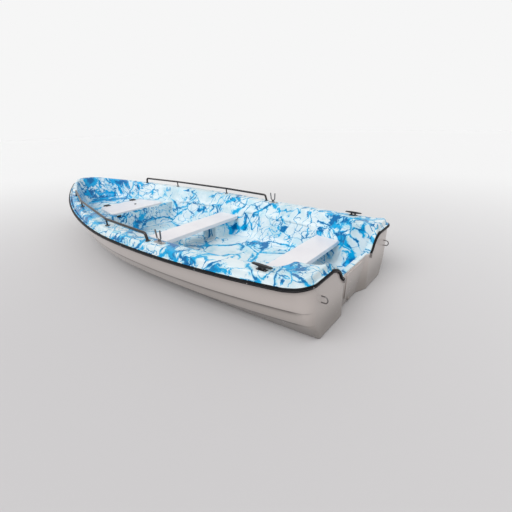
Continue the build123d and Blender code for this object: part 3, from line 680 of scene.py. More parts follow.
def splashed_gelcoat(settings):
    """White gelcoat splashed with cyan-blue: strands, ragged pools, runs on the walls, nets and specks."""
    f = Finish("splashed_gelcoat")
    facing_up = f.upright(f.outputs("ShaderNodeNewGeometry")["Normal"])
    wall = facing_up.math("ABSOLUTE").above(0.75, 0.45)
    big = f.warped(f.place, 1.7, 0.34)
    loose = f.warped(big, 6.5, 0.07, 3.0)
    torn = f.warped(loose, 26.0, 0.042, 8.0, 0.72)

    high, low, less = SOLE_CLEAR
    gather = f.upright(f.place).above(high, low) * -less
    for spot, reach, strength in GATHERED:
        gather = gather + f.distance(f.place, spot).above(reach, 0.0) * strength

    # long strands: lines where broad flows meet, thick and thin, torn at their edges
    swell = f.noise(f.place, 7.0, 5.0, 0.6).above(0.42, 0.68)
    washes, inks = [], []
    for offset, scale, wide, thin, rare in STRANDS:
        gap = (f.noise(f.moved(torn, *offset), scale, 1.0, 0.4) - 0.5).math("ABSOLUTE")
        present = f.noise(f.moved(f.place, *offset[::-1]), 2.6, 2.0) + gather * 0.6
        present = present.above(rare, rare + 0.03)
        reach = swell * wide + thin
        inks.append((gap - reach).above(0.0018, 0.0) * present)
        washes.append((gap - reach * 1.35).above(0.010, 0.0) * present)

    # branching strands along the borders of broad patches
    borders = f.cells(torn, 2.3, "DISTANCE_TO_EDGE")
    present = (f.noise(f.moved(f.place, 3.1, 7.7, 1.3), 2.2, 2.0) + gather * 0.6).above(0.44, 0.48)
    inks.append((borders - swell * 0.030).above(0.012, 0.004) * present)
    washes.append((borders - swell * 0.040).above(0.036, 0.004) * present)

    # ragged pools with holes and torn edges
    mass = f.noise(f.moved(torn, 1.7, 4.9, 8.2), 3.2, 9.0, 0.70) + gather
    inks.append(mass.above(0.618, 0.624))
    washes.append(mass.above(0.592, 0.620))

    # runs down the walls
    running = f.noise(f.scaled(f.warped(f.place, 9.0, 0.04, 4.0), 15.0, 15.0, 1.9), 1.0, 5.0, 0.62)
    where = (f.noise(f.moved(f.place, 6.0, 1.0, 2.5), 2.7) + gather).above(0.50, 0.58)
    inks.append((running + gather * 0.5).above(0.612, 0.626) * wall * where)
    washes.append(running.above(0.575, 0.620) * wall * where * 0.8)

    # nets of fine threads, and specks round the pools
    busy = (f.noise(f.moved(f.place, 9.4, 2.2, 5.1), 2.4) + gather).above(0.525, 0.57)
    threads = f.cells(f.warped(loose, 18.0, 0.03, 4.0), 9.0, "DISTANCE_TO_EDGE")
    inks.append((threads - swell * 0.025).above(0.016, 0.002) * busy)
    washes.append((threads - swell * 0.04).above(0.05, 0.0) * busy * 0.8)
    dots = f.cells(torn, 58.0).above(0.33, 0.27) * f.noise(f.place, 9.0).above(0.50, 0.62)
    inks.append(dots * mass.above(0.50, 0.58) * 0.9)

    ink, wash = f.strongest(inks), f.strongest(washes)
    veil = f.noise(f.moved(big, 4.4, 4.4, 4.4), 3.4, 6.0, 0.62).above(0.44, 0.66)
    ground = f.mix(veil * 0.9, settings.liner_white, settings.liner_veil)
    mist = f.noise(loose, 5.2, 5.0).above(0.58, 0.72)
    ground = f.mix(mist * 0.30, ground, settings.splash_sea)
    shade = f.noise(torn, 9.5, 5.0, 0.6)
    pale = f.mix(shade.above(0.43, 0.57), settings.splash_pale, settings.splash_sea)
    deep = f.mix(shade.above(0.55, 0.45), settings.splash_bright, settings.splash_deep)
    tone = f.mix(ink, f.mix(wash * 0.72, ground, pale), deep)
    rough = f.noise(f.place, 12.0) * 0.08 + 0.16
    ripple = f.bump(f.noise(f.place, 7.0, 2.0) + ink * 0.03, 0.004, 0.30)
    return f.done(tone, rough, ripple, Specular_IOR_Level=0.2, Coat_Weight=0.1, Coat_Roughness=0.05)


# middle of the painted shade on the floor
FLOOR_SHADE_MIDDLE = (-1.4, 1.9, 0.0)      # the floor's darkest place, in metres


def studio_floor(settings):
    """Pale studio floor with painted shade, darker round one place and paler away from it, which throws back
    less light than it shows.
    """
    f = Finish("studio_floor")
    # painted shade, darkest at one place and fading away from it
    away = f.distance(f.place, FLOOR_SHADE_MIDDLE).above(0.5, 9.0)
    tone = f.mix(f.seen(), settings.floor_bounce, f.mix(away, settings.floor_shaded, settings.floor_lit))
    return f.done(tone, f.noise(f.place, 1.3, 2.0) * 0.1 + 0.62, Specular_IOR_Level=0.2)


class Palette(bpy.types.PropertyGroup):
    """Colours of the boat and the stage."""

    hull_color: color_property("Hull", "Colour of the hull's gelcoat", (225, 215, 210))
    hull_shade: color_property("Hull shade", "Its second, slightly darker tone", (213, 202, 197))
    # also the colour of the painted shade low on the hull
    scuff_and_shade_color: color_property("Scuffs", "Colour of scuffs and dirt", (120, 113, 106))
    # colour of the painted shadows under the laps of the hull
    lap_shadow_color: color_property("Creases", "Dark tone held under the laps of the hull", (84, 77, 74))
    white_color: color_property("White", "Colour of the thwarts and the lid", (233, 230, 232))
    white_shade: color_property("White shade", "Second tone of the thwarts and the lid", (221, 218, 223))
    rubber_color: color_property("Rubber", "Colour of the rub rail and black fittings", (6, 6, 9))
    rubber_dust: color_property("Rubber dust", "Tone of dust on black pieces", (20, 20, 24))
    steel_color: color_property("Steel", "Colour of the bright fittings", (178, 176, 176))
    steel_shade: color_property("Steel shade", "Second tone of the bright fittings", (128, 125, 125))
    rail_color: color_property("Rail steel", "Colour of the grab rails", (72, 69, 69))
    rail_shade: color_property("Rail steel shade", "Second tone of the grab rails", (44, 42, 42))
    liner_white: color_property("Liner", "Ground colour of the liner", (223, 234, 238))
    liner_veil: color_property("Liner veil", "Pale tone veiling the liner's ground", (188, 214, 223))
    splash_pale: color_property("Splash edge", "Palest tone of the splashes", (92, 204, 240))
    splash_sea: color_property("Splash sea tone", "Greener tone at the splashes' edges", (92, 202, 226))
    splash_bright: color_property("Splash bright", "Bright tone of the splashes", (0, 164, 220))
    splash_deep: color_property("Splash deep", "Deepest tone of the splashes", (0, 106, 166))
    # painted shade on the floor: its colour at its darkest place, and far from it
    floor_shaded: color_property("Floor", "Floor colour near the boat", (202, 200, 201))
    floor_lit: color_property("Floor far", "Floor colour far from the boat", (239, 239, 239))
    floor_bounce: color_property("Floor bounce", "Floor colour for the light it throws back", (96, 95, 96))


MAKERS = (hull_paint, white_gelcoat, black_rubber, black_nylon, bright_steel, worn_steel, dark_steel,
          splashed_gelcoat, studio_floor)
FINISHES = {make.__name__: make for make in MAKERS}


def finish(name):
    """A finish by name, made on first use."""
    return bpy.data.materials.get(name) or FINISHES[name](bpy.context.scene.boat_palette)


# ---------------------------------------------------------------- geometry recipes

class Recipe(Tree):
    """A Geometry Nodes tree being built, with named inputs."""

    def __init__(self, name, **inputs):
        super().__init__(bpy.data.node_groups.new(name, "GeometryNodeTree"))
        for label, kind in {"Geometry": "Geometry", **inputs}.items():
            self.tree.interface.new_socket(label, in_out="INPUT", socket_type="NodeSocket" + kind)
        self.tree.interface.new_socket("Geometry", in_out="OUTPUT", socket_type="NodeSocketGeometry")
        self.inputs = self.outputs("NodeGroupInput")

    def attribute(self, name):
        return self.node("GeometryNodeInputNamedAttribute", {"data_type": "FLOAT_VECTOR"}, [name])[0]

    def end(self, geometry):
        real = self.node("GeometryNodeRealizeInstances", None, [geometry])[0]
        smooth = self.node("GeometryNodeSetShadeSmooth", None, {"Geometry": real})[0]
        painted = {"Geometry": smooth, "Material": self.inputs["Material"]}
        self.node("NodeGroupOutput", None, [self.node("GeometryNodeSetMaterial", None, painted)[0]])
        return self.tree


CORNER_STEPS = 5           # points round each corner of a band's profile


def band_recipe():
    """A rounded band swept along a path, its depth along each point's outward direction."""
    r = Recipe("band_along_path", Tall="Float", Deep="Float", Rounding="Float", Material="Material")
    line = r.node("GeometryNodeMeshToCurve", None, [r.inputs["Geometry"]])[0]
    turned = {"Curve": line, "Normal": r.attribute("outward")}
    path = r.node("GeometryNodeSetCurveNormal", {"mode": "FREE"}, turned)[0]
    size = {"Width": r.inputs["Deep"], "Height": r.inputs["Tall"]}
    face = r.node("GeometryNodeCurvePrimitiveQuadrilateral", None, size)[0]
    rounded = {"Curve": face, "Count": CORNER_STEPS, "Radius": r.inputs["Rounding"]}
    face = r.node("GeometryNodeFilletCurve", {"mode": "POLY"}, rounded)[0]
    swept = {"Curve": path, "Profile Curve": face, "Fill Caps": True}
    return r.end(r.node("GeometryNodeCurveToMesh", None, swept)[0])


# a screw's washer, edge and dome, as (lower radius, upper radius, height, thickness) in head radii
HEAD_PARTS = [(1.0, 1.0, 0.06, 0.12), (0.78, 0.74, 0.30, 0.36), (0.74, 0.34, 0.57, 0.18)]
HEAD_SIDES = 14


def screw_recipe():
    """Domed screw heads over washers, one at each point, turned to its facing direction."""
    r = Recipe("screw_heads", Radius="Float", Material="Material")
    radius = r.inputs["Radius"]
    parts = []
    for low, high, middle, thick in HEAD_PARTS:
        sizes = {"Vertices": HEAD_SIDES, "Radius Bottom": radius * low, "Radius Top": radius * high,
                 "Depth": radius * thick}
        cone = r.node("GeometryNodeMeshCone", None, sizes)[0]
        base = r.node("ShaderNodeCombineXYZ", None, {"Z": radius * (middle - thick / 2)})[0]
        parts.append(r.node("GeometryNodeTransform", None, {"Geometry": cone, "Translation": base})[0])
    head = r.node("GeometryNodeJoinGeometry", None, [parts])[0]
    turn = r.node("FunctionNodeAlignRotationToVector", {"axis": "Z"}, {"Vector": r.attribute("facing")})[0]
    spread = {"Points": r.inputs["Geometry"], "Instance": head, "Rotation": turn}
    return r.end(r.node("GeometryNodeInstanceOnPoints", None, spread)[0])


def made_by(recipe, name, points, edges, attribute, directions, values):
    """Object that a recipe makes from points in metres, each with a direction."""
    base = bpy.data.meshes.new(name)
    base.from_pydata([tuple(p) for p in points], edges, [])
    layer = base.attributes.new(attribute, "FLOAT_VECTOR", "POINT")
    layer.data.foreach_set("vector", np.asarray(directions, np.float32).ravel())
    obj = linked(name, base)
    modifier = obj.modifiers.new("recipe", "NODES")
    modifier.node_group = recipe
    for item in recipe.interface.items_tree:
        if item.in_out == "INPUT" and item.name in values:
            modifier[item.identifier] = values[item.name]
    mesh = settled(obj).data
    mesh.materials.clear()
    mesh.materials.append(values["Material"])
    if attribute in mesh.attributes:
        mesh.attributes.remove(mesh.attributes[attribute])
    return obj


# ---------------------------------------------------------------- pieces

class HullSizes(bpy.types.PropertyGroup):
    """Sizes of the hull's skin."""

    skin: length_property("Skin", "Thickness of the hull's skin", 0.0045)
    lap_round: length_property("Lap rounding", "Radius along the lower edge of each strake", 0.009)
    foot_round: length_property("Foot rounding", "Radius where the sides meet the flat bottom", 0.012)


LAP_FOOT = 62.0            # the even rows of the side end this far under a lap
# then rows this far below the lap's inner corner, and how dark the painted shadow of the lap above makes them
LAP_ROWS, LAP_SHADOW_STRENGTHS = (32.0, 17.0, 7.0), (0.18, 0.6, 1.0)
LAP_COVE = 5.0             # reach of the cove in that corner
# the painted lap shadows fade in forward of the first station, over the length of the second
LAP_SHADOW_START, LAP_SHADOW_FADE = 50.0, 70.0     # the creases fade in forward of this station


class BOAT_OT_hull(bpy.types.Operator):
    """Build the hull's outside skin: a flat bottom and two lapped strakes, with a recessed motor panel"""

    bl_idname = "boat.hull"
    bl_label = "Hull"

    def execute(self, context):
        sizes = context.scene.boat_hull
        lap, foot = sizes.lap_round * MM, sizes.foot_round * MM
        bottom, lower, upper = (Strake(levels) for levels in (BOTTOM, LOWER, UPPER))
        rows = bezier_rows(Strake(BOTTOM, foot).row(0.0), bottom.row(0.0), bottom.row(foot), 4)
        shade = [0.0] * len(rows)
        start = foot
        for under, over, line, guess, steps in ((bottom, lower, LOWER_STEP, 130, 7),
                                                (lower, upper, UPPER_STEP, 230, 6)):
            cut, top = (strake.level_of(lambda plan: arc_height(line, plan[:, 0]), guess)
                        for strake in (under, over))
            heights = [start + (cut - LAP_FOOT - start) * t for t in np.linspace(0, 1, steps)[1:]]
            rows += [under.row(z) for z in heights + [cut - drop for drop in LAP_ROWS]]
            inner, outer, above = under.row(cut), over.row(top), over.row(top + lap)
            cove = bezier_rows(under.row(cut - LAP_ROWS[-1]), inner, shifted(inner, outer, LAP_COVE), 3)[1:]
            edge = bezier_rows(shifted(outer, inner, lap), outer, above, 4)
            rows += cove + edge
            # how dark the painted lap shadow makes each row
            shade += [0.0] * len(heights) + [*LAP_SHADOW_STRENGTHS] + [1.0] * len(cove) + [0.0] * len(edge)
            start = top + lap
        top = upper.level_of(edge_height, 400)
        rows += [upper.row(start + (top - start) * t) for t in np.linspace(0, 1, 8)[1:]]
        shade += [0.0] * (len(rows) - len(shade))
        faces = ring_faces(rows, flip=True) + [row_face(rows, 0)]
        hull = mesh_from("hull", rows, faces, "hull_paint")
        # painted lap shadows, kept on the hull's points and faded in away from the transom
        along = np.vstack(rows)[:, 0]
        lap_shadows = np.repeat(shade, len(rows[0])) * np.clip((along - LAP_SHADOW_START) / LAP_SHADOW_FADE, 0, 1)
        layer = hull.data.attributes.new("crease", "FLOAT", "POINT")
        layer.data.foreach_set("value", lap_shadows.astype(np.float32))
        merged(hull.data)
        smoothed(hull.data, 34)
        riding(thickened(hull, sizes.skin), "hull_shell", slot="hull_gelcoat")
        return {"FINISHED"}


class LinerSizes(bpy.types.PropertyGroup):
    """Sizes of the liner."""

    coaming_tall: length_property("Coaming height", "Gunwale top above the rub rail's centre", 0.058)
    coaming_rake: number_property("Coaming rake", "Lean inboard for each unit of height", 0.48)
    edge_round: length_property("Edge rounding", "Radius along the gunwale's edges", 0.014)
    foot_round: length_property("Foot rounding", "Radius where the walls meet the sole", 0.040)
    skin: length_property("Skin", "Thickness of the liner's skin", 0.004)
    panel_deep: length_property("Wall panel depth", "How far the wall panels are sunk", 0.010)


# columns across the stern well's aft wall, its corner, its side, and the nose beside it
WELL_STEPS, WELL_CORNER_STEPS, WELL_SIDE_STEPS, NOSE_STEPS = 30, 5, 10, 5
WELL_CORNER = 30.0         # softening of that corner
WELL_EDGE = 410.0          # half breadth where the well's aft wall ends on the rub rail's line
NOSE = 16.0                # length of the softened nose on each side
FINE_STEPS = 60            # steps along the corner while the nose is found
RUBBER_IN = 12.0           # the coaming's foot, inward of the rub rail's line
SHEER_IN = 20.0            # how far in from that line the sheer is read
PANEL_BLEND = 26.0         # breadth over which the motor panel's recess deepens
ASTERN, AHEAD = (-1.0, 0.0), (1.0, 0.0)


def tub_half(z, level, grow=0.0):
    """Port half of the cockpit's inside with the stern well, as plan points from the stern to the bow."""
    half, taper, tip, tip_radius, corner_radius, aft = level
    t = (z - WELL[0][0]) / (WELL[1][0] - WELL[0][0])
    width, back = (WELL[0][k] + (WELL[1][k] - WELL[0][k]) * t for k in (1, 2))
    width, back = width + grow, back - grow
    shape = (half + grow, taper, tip + grow, tip_radius + grow, corner_radius + grow)
    corner = arc_points(plan_arcs(*shape, aft=aft - grow)[0], FINE_STEPS)
    if width < corner[0][1]:
        run = joined(straight((aft - grow, width), corner[0], 6), corner)
    else:
        entry = (np.interp(width, corner[:, 1], corner[:, 0]), width)
        run = np.vstack([entry, corner[corner[:, 1] > width]])
    run = path_by_length(run, 4 * FINE_STEPS)
    rest = run[lengths_along(run) > NOSE]
    a, b = (back, width - WELL_CORNER), (back + WELL_CORNER, width)
    nose = toward(run[0], b, NOSE)
    return joined(straight((back, 0), a, WELL_STEPS), eased(a, (back, width), b, WELL_CORNER_STEPS),
                  straight(b, nose, WELL_SIDE_STEPS), eased(nose, run[0], rest[0], NOSE_STEPS),
                  path_by_length(rest, ARC_STEPS[0]), side_run(shape, aft - grow, first=1))


class Tub(Strake):
    """Inside surface of the cockpit, drawn out by grow."""

    def __init__(self, grow=0.0):
        self.heights = [level[0] for level in TUB]
        self.rings = [whole(tub_half(level[0], level[1:], grow)) for level in TUB]


def gunwale_lines(aft):
    """Plan points of the rub rail's centreline and their outward directions, matched to the tub's columns."""
    arcs = plan_arcs(*RAIL_PLAN, aft=aft)
    edge, corner = (aft, WELL_EDGE), (aft, arcs[0][0][1])
    transom = joined(straight((aft, 0), edge, WELL_STEPS),
                     straight(edge, corner, WELL_CORNER_STEPS + WELL_SIDE_STEPS + NOSE_STEPS))
    sides, turns = arcs_run(arcs, ARC_STEPS)
    turns = np.vstack([np.tile(ASTERN, (len(transom), 1)), turns])
    turns[-1] = AHEAD
    return whole(np.vstack([transom, sides])), whole(turns)


def across_stern(turns):
    """Which points of a line run across the transom."""
    return turns[:, 0] < -0.999


def coaming_face(lines, turns, z, rake):
    """Outer face of the gunwale at a height in every column, with the recess behind the motor panel."""
    inset = RUBBER_IN + rake * np.maximum(z - sheer(lines[:, 0] - SHEER_IN * turns[:, 0]), 0)
    plan = lines - turns * inset[:, None]
    share = np.clip((PANEL_SIDE - abs(plan[:, 1])) / PANEL_BLEND, 0, 1)
    depth = panel_depth(z) * share * share * (3 - 2 * share)
    plan[:, 0] += np.where(across_stern(turns), depth, 0)
    return np.column_stack([plan, z])


def panel_distance(s, z):
    """Signed distance from the outline of the nearest wall panel, in millimetres."""
    low, high = PANEL_HEIGHTS
    best = np.full(np.shape(s), 1e9)
    for aft, fore in WALL_PANELS:
        qx = abs(s - (aft + fore) / 2) - ((fore - aft) / 2 - PANEL_CORNER)
        qz = abs(z - (low + high) / 2) - ((high - low) / 2 - PANEL_CORNER)
        reach = np.hypot(np.maximum(qx, 0), np.maximum(qz, 0)) + np.minimum(np.maximum(qx, qz), 0)
        best = np.minimum(best, reach - PANEL_CORNER)
    return best


# distances from a wall panel's outline within which the faces are cut finer, one cut for each
FINER_NEAR = (26.0, 13.0, 8.0)
PANEL_EDGE = 7.0           # half the breadth of the slope round a sunk panel


def sink_panels(mesh, deep):
    """Sinks the wall panels into the tub's sides, with finer faces along their edges."""
    lowest, highest, inner = PANEL_ZONE

    def gap(v):
        s, z = v.co.x * MM + MIDDLE, v.co.z * MM
        if not (lowest < z < highest and abs(v.co.y) * MM > inner):
            return 1e9
        return float(panel_distance(np.float64(s), np.float64(z)))

    with Editing(mesh) as work:
        for reach in FINER_NEAR:
            near = {v for v in work.verts if abs(gap(v)) < reach}
            edges = [e for e in work.edges if e.verts[0] in near or e.verts[1] in near]
            bmesh.ops.subdivide_edges(work, edges=edges, cuts=1, use_grid_fill=True)
        work.normal_update()
        moves = []
        for v in work.verts:
            t = min((PANEL_EDGE - gap(v)) / (2 * PANEL_EDGE), 1)
            if t > 0:
                outward = Vector((-v.normal.x, -v.normal.y, 0)).normalized()
                moves.append((v, outward * deep * t * t * (3 - 2 * t)))
        for v, step in moves:
            v.co += step


def cut_hidden(mesh, ahead, below):
    """Takes away what lies forward of a station and under a height, behind the bow locker's face."""
    x, z = (ahead - MIDDLE) / MM, below / MM
    with Editing(mesh) as work:
        parts = work.verts[:] + work.edges[:] + work.faces[:]
        bmesh.ops.bisect_plane(work, geom=parts, plane_co=(x, 0, 0), plane_no=(1, 0, 0))
        front = [f for f in work.faces if f.calc_center_median().x > x]
        parts = list({part for f in front for part in (*f.verts, *f.edges, f)})
        bmesh.ops.bisect_plane(work, geom=parts, plane_co=(0, 0, z), plane_no=(0, 0, 1))
        middles = [(f, f.calc_center_median()) for f in work.faces]
        hidden = [f for f, middle in middles if middle.x > x and middle.z < z]
        bmesh.ops.delete(work, geom=hidden, context="FACES")


HIDDEN_GAP = 8.0           # the liner ends this far behind the locker's face and under the bow deck
# heights of the rows round the shelf, from the coaming's inner face down to the wall
SHELF = [349.0, 344.0, 340.6, 338.6, 336.5, 327.0, 324.0, 321.8, 318.0, 312.0]
COAMING_AFT = -10.0        # station of the coaming's line across the transom
COAMING_REACH = 35.0       # how far inward of that line the coaming's top is measured
DECK_CAMBER = 2.0          # rise of the gunwale's top between its edges


class BOAT_OT_liner(bpy.types.Operator):
    """Build the liner: gunwale, shelf, walls with sunk panels, stern well and sole, in one skin"""

    bl_idname = "boat.liner"
    bl_label = "Liner"

    def execute(self, context):
        sizes = context.scene.boat_liner
        tall, soft, foot = sizes.coaming_tall * MM, sizes.edge_round * MM, sizes.foot_round * MM
        lines, turns = gunwale_lines(COAMING_AFT)
        top, low = top_height(lines - turns * COAMING_REACH, tall), edge_height(lines)
        soft_out = np.minimum(soft, (top - low) * 0.45)

        def face(z):
            return coaming_face(lines, turns, z, sizes.coaming_rake)

        def on_deck(row, camber=0.0):
            row[:, 2] = top_height(row[:, :2], tall) + camber
            return row

        tub = Tub()
        crest = tub.level_of(lambda plan: top_height(plan, tall), 450)
        start = crest - soft
        inner, outer = tub.row(crest), on_deck(face(top))
        deck_out, deck_in = on_deck(shifted(outer, inner, soft)), on_deck(shifted(inner, outer, soft))
        rows = [face(low + (top - soft_out - low) * t) for t in (0.0, 0.33, 0.66)]
        rows += bezier_rows(face(top - soft_out), outer, deck_out, 5)
        rows += [on_deck(deck_out * (1 - t) + deck_in * t, DECK_CAMBER * math.sin(math.pi * t))
                 for t in np.linspace(0, 1, 9)[1:-1]]
        rows += bezier_rows(deck_in, inner, tub.row(start), 5)
        levels = [start + (SHELF[0] - start) * t for t in np.linspace(0, 1, 8)[1:-1]] + SHELF
        levels += list(np.linspace(SHELF[-1], SOLE + foot, 11)[1:])
        rows += [tub.row(np.minimum(z, start - 0.4 * (k + 1))) for k, z in enumerate(levels)]
        rows += bezier_rows(rows[-1], tub.row(SOLE), Tub(-foot).row(SOLE), 6)[1:]
        faces = ring_faces(rows, flip=True) + [row_face(rows, len(rows) - 1)[::-1]]
        liner = mesh_from("liner_skin", rows, faces, "splashed_gelcoat")
        cut_hidden(liner.data, LOCKER_FACE + HIDDEN_GAP, BOW_DECK - HIDDEN_GAP)
        sink_panels(liner.data, sizes.panel_deep)
        smoothed(liner.data, 50)
        riding(thickened(liner, sizes.skin), "liner", slot="liner_gelcoat")
        return {"FINISHED"}


class BowLockerSizes(bpy.types.PropertyGroup):
    """Sizes of the bow deck and its locker."""

    opening_inset: length_property("Opening inset", "Locker opening inside the lid's outline", 0.035)
    floor_height: length_property("Locker floor", "Height of the locker's floor", 0.130)
    edge_round: length_property("Edge rounding", "Radius along the deck's aft edge", 0.010)
    cove: length_property("Cove", "Radius where the deck meets the walls", 0.016)
    skirt: length_property("Skirt", "How far the deck's rim hangs behind the walls", 0.018)
    skin: length_property("Skin", "Thickness of the moulding", 0.004)


# the lid's aft and fore edges and its half breadths there, and how far the opening's corners are softened
LID_EDGES, LID_HALVES, OPENING_SOFT = (2800.0, 3235.0), (335.0, 262.0), (26.0, 46.0)
# rows down into the locker: how far in from the opening's edge, and how far under the deck or over the floor
MOUTH_ROWS, FLOOR_ROWS = ((-4.0, 0.0), (-1.2, 1.2), (0.0, 4.0)), ((4.0, 12.0), (7.0, 3.0), (15.0, 0.0))
OPENING_STEPS = 7          # steps round each of its corners
FACE_STEPS = 30            # columns across the locker's aft face
FACE_FOOT = 14.0           # softening where that face meets the sole
FACE_MARGIN = 12.0         # the walls' own columns start this far forward of the face
SKIRT_OUT = 2.0            # how far the skirt lies behind the walls' face


def opening_loop(inset):
    """Closed outline of the locker's opening, drawn in from the lid's outline."""
    (aft, fore), (wide, narrow) = LID_EDGES, LID_HALVES
    slope = (wide - narrow) / (fore - aft)
    aft, fore = aft + inset, fore - inset
    wide, narrow = wide - inset * (1 + slope), narrow - inset * (1 - slope)
    corners = [(aft, wide), (fore, narrow), (fore, -narrow), (aft, -wide)]
    loop = []
    for k, soft in enumerate(OPENING_SOFT + OPENING_SOFT[::-1]):
        before, corner, after = corners[k - 1], corners[k], corners[(k + 1) % 4]
        a, b = toward(corner, before, soft), toward(corner, after, soft)
        loop.append(eased(a, corner, b, OPENING_STEPS))
    return np.vstack(loop)


def wall_run(tub, z, grow):
    """Tub wall at a height forward of the locker's face, from port round the bow to starboard."""
    ring = tub.at(z)[: len(tub.rings[0]) // 2 + 1]
    first = int(np.argmax(tub.at(BOW_DECK)[: len(ring)][:, 0] > LOCKER_FACE + FACE_MARGIN))
    ends = ring[first - 3: first + 1]
    y = np.interp(LOCKER_FACE, ends[:, 0], ends[:, 1])
    run = np.vstack([[LOCKER_FACE, y], ring[first:]])
    along = np.gradient(run, axis=0)
    out = np.stack([-along[:, 1], along[:, 0]], 1) / np.linalg.norm(along, axis=1)[:, None]
    out[0], out[-1] = (0.0, 1.0), AHEAD
    run = run + out * grow
    return np.vstack([run, run[-2::-1] * (1, -1)])


def deck_row(tub, wall, face):
    """One row: wall's (height, grow) along the walls, then face's (height, station) along the aft face."""
    def ring(z):
        run = wall_run(tub, z, wall[1])
        across = np.linspace(-1, 1, FACE_STEPS + 1)[1:-1] * run[0, 1]
        run[0, 0] = run[-1, 0] = face[1]
        return at_height(np.vstack([run, np.column_stack([np.full(len(across), face[1]), across])]), z)

    row, front = ring(wall[0]), ring(face[0])
    facing = np.r_[0, len(row) - FACE_STEPS:len(row)]
    row[facing] = front[facing]
    return row


class BOAT_OT_bow_locker(bpy.types.Operator):
    """Build the bow deck with its rounded face, the coves along the walls and the locker under the lid"""

    bl_idname = "boat.bow_locker"
    bl_label = "Bow locker"

    def execute(self, context):
        sizes = context.scene.boat_bow_locker
        edge, cove, skirt = sizes.edge_round * MM, sizes.cove * MM, sizes.skirt * MM
        floor, inset = sizes.floor_height * MM, sizes.opening_inset * MM
        tub = Tub()

        def row(wall, face, station=LOCKER_FACE):
            return deck_row(tub, wall, (face, station))

        def hung(z):
            """Height and grow of the short skirt along the walls where the face's row is at a height."""
            return BOW_DECK - skirt * (BOW_DECK - z) / (BOW_DECK - SOLE), SKIRT_OUT

        rows = bezier_rows(row(hung(SOLE), SOLE - 0.5, LOCKER_FACE - FACE_FOOT), row(hung(SOLE), SOLE),
                           row(hung(SOLE + 1), SOLE + FACE_FOOT), 4)
        rows += [row(hung(z), z) for z in np.linspace(SOLE + FACE_FOOT, BOW_DECK - edge, 12)[1:-1]]
        rows += bezier_rows(row((BOW_DECK + cove, 0.8), BOW_DECK - edge), row((BOW_DECK, 0.0), BOW_DECK),
                            row((BOW_DECK, -cove), BOW_DECK, LOCKER_FACE + edge), 5)
        mouth = [at_height(opening_loop(inset + more), BOW_DECK - down) for more, down in MOUTH_ROWS]
        mouth += [at_height(opening_loop(inset + more), floor + up) for more, up in FLOOR_ROWS]
        count = len(rows[0])
        start = len(rows) * count
        faces = ring_faces(rows, flip=True) + ring_faces(mouth, start=start)
        faces.append(row_face(mouth, len(mouth) - 1, start))
        deck = mesh_from("bow_deck", rows + mouth, faces, "splashed_gelcoat")
        rims = set(range(start - count, start + len(mouth[0])))
        with Editing(deck.data) as work:
            rim = [e for e in work.edges if e.is_boundary and {v.index for v in e.verts} <= rims]
            bmesh.ops.triangle_fill(work, edges=rim, use_beauty=True)
            bmesh.ops.remove_doubles(work, verts=work.verts, dist=2e-5)
            bmesh.ops.recalc_face_normals(work, faces=work.faces)
            level = (f for f in work.faces if f.normal.z ** 2 > 0.9)
            if max(level, key=lambda f: f.calc_center_median().z).normal.z < 0:
                bmesh.ops.reverse_faces(work, faces=work.faces)
        smoothed(deck.data, 35)
        riding(thickened(deck, sizes.skin), "liner", slot="liner_gelcoat")
        return {"FINISHED"}


# (name, aft edge, fore edge, inner end, foot, top inside the thwart's lip, top under it, start of the lip)
RISERS = [("mid_thwart_risers", 1712.0, 1945.0, 210.0, 70.0, 250.0, 219.0, 538.0),
          ("aft_thwart_ledges", 405.0, 612.0, 440.0, 203.0, 240.0, 209.0, 530.0)]
RISER_SOFT = 26.0          # softening of a riser's upright corners
RISER_STEPS, RISER_TURN_STEPS = (12, 6, 12), 6     # columns along its three sides, and round each corner
FOOT_COVE = 20.0           # radius at its foot where it stands on the sole
HUNG_COVE = 5.0            # and where it hangs on the wall above it
RISER_EDGE = 4.0           # softening of its top edge
WALL_BITE = 2.5            # how far a riser's ends go into the wall
SIDE_START = 60            # the first of the tub's columns that a riser may meet


def riser_rows(tub, side, aft, fore, inner, foot, high, low, lip):
    """Rows of one side's riser, from the cove at its foot to its crowned top."""
    cove = FOOT_COVE if foot <= SOLE else HUNG_COVE

    def outline(z, grow):
        wall = tub.at(z)[SIDE_START: len(tub.rings[0]) // 2]
        ends = [(s, np.interp(s, wall[:, 0], wall[:, 1]) + WALL_BITE) for s in (aft - grow, fore + grow)]
        corners = [ends[0], (aft - grow, inner - grow), (fore + grow, inner - grow), ends[1]]
        return softened(corners, RISER_SOFT, RISER_STEPS, RISER_TURN_STEPS) * (1, side)

    def crown(height, draw):
        """Row of the top, lower where the thwart's lip hangs over it."""
        under_lip = abs(outline(foot, 0.0)[:, 1]) > lip
        plan = np.where(under_lip[:, None], outline(low, draw), outline(height, draw))
        return np.column_stack([plan, np.where(under_lip, low, height)])

    base = foot - 1.0
    rows = bezier_rows(*(at_height(outline(z, grow), z) for z, grow in
                         ((base, cove), (base, 0.0), (base + cove, -1.0))), 5)
    brim = crown(high - RISER_EDGE, -RISER_EDGE)
    rows += between(rows[-1], brim, 6)
    return rows + bezier_rows(brim, crown(high, -RISER_EDGE), crown(high, -RISER_EDGE - 5.0), 3)


class BOAT_OT_risers(bpy.types.Operator):
    """Build the moulded risers that carry the thwarts, with softened corners and a cove at the foot"""

    bl_idname = "boat.risers"
    bl_label = "Thwart risers"

    def execute(self, context):
        tub = Tub()
        for name, *sizes in RISERS:
            points, faces = [], []
            for side in (1, -1):
                rows, start = riser_rows(tub, side, *sizes), len(points)
                points += list(np.vstack(rows))
                faces += ring_faces(rows, start=start)
                faces += [row_face(rows, index, start) for index in (0, len(rows) - 1)]
            piece = mesh_from(name, points, faces, "splashed_gelcoat")
            merged(piece.data, turn_out=True)
            smoothed(piece.data, 35)
            riding(piece, "liner", slot="liner_gelcoat")
        return {"FINISHED"}


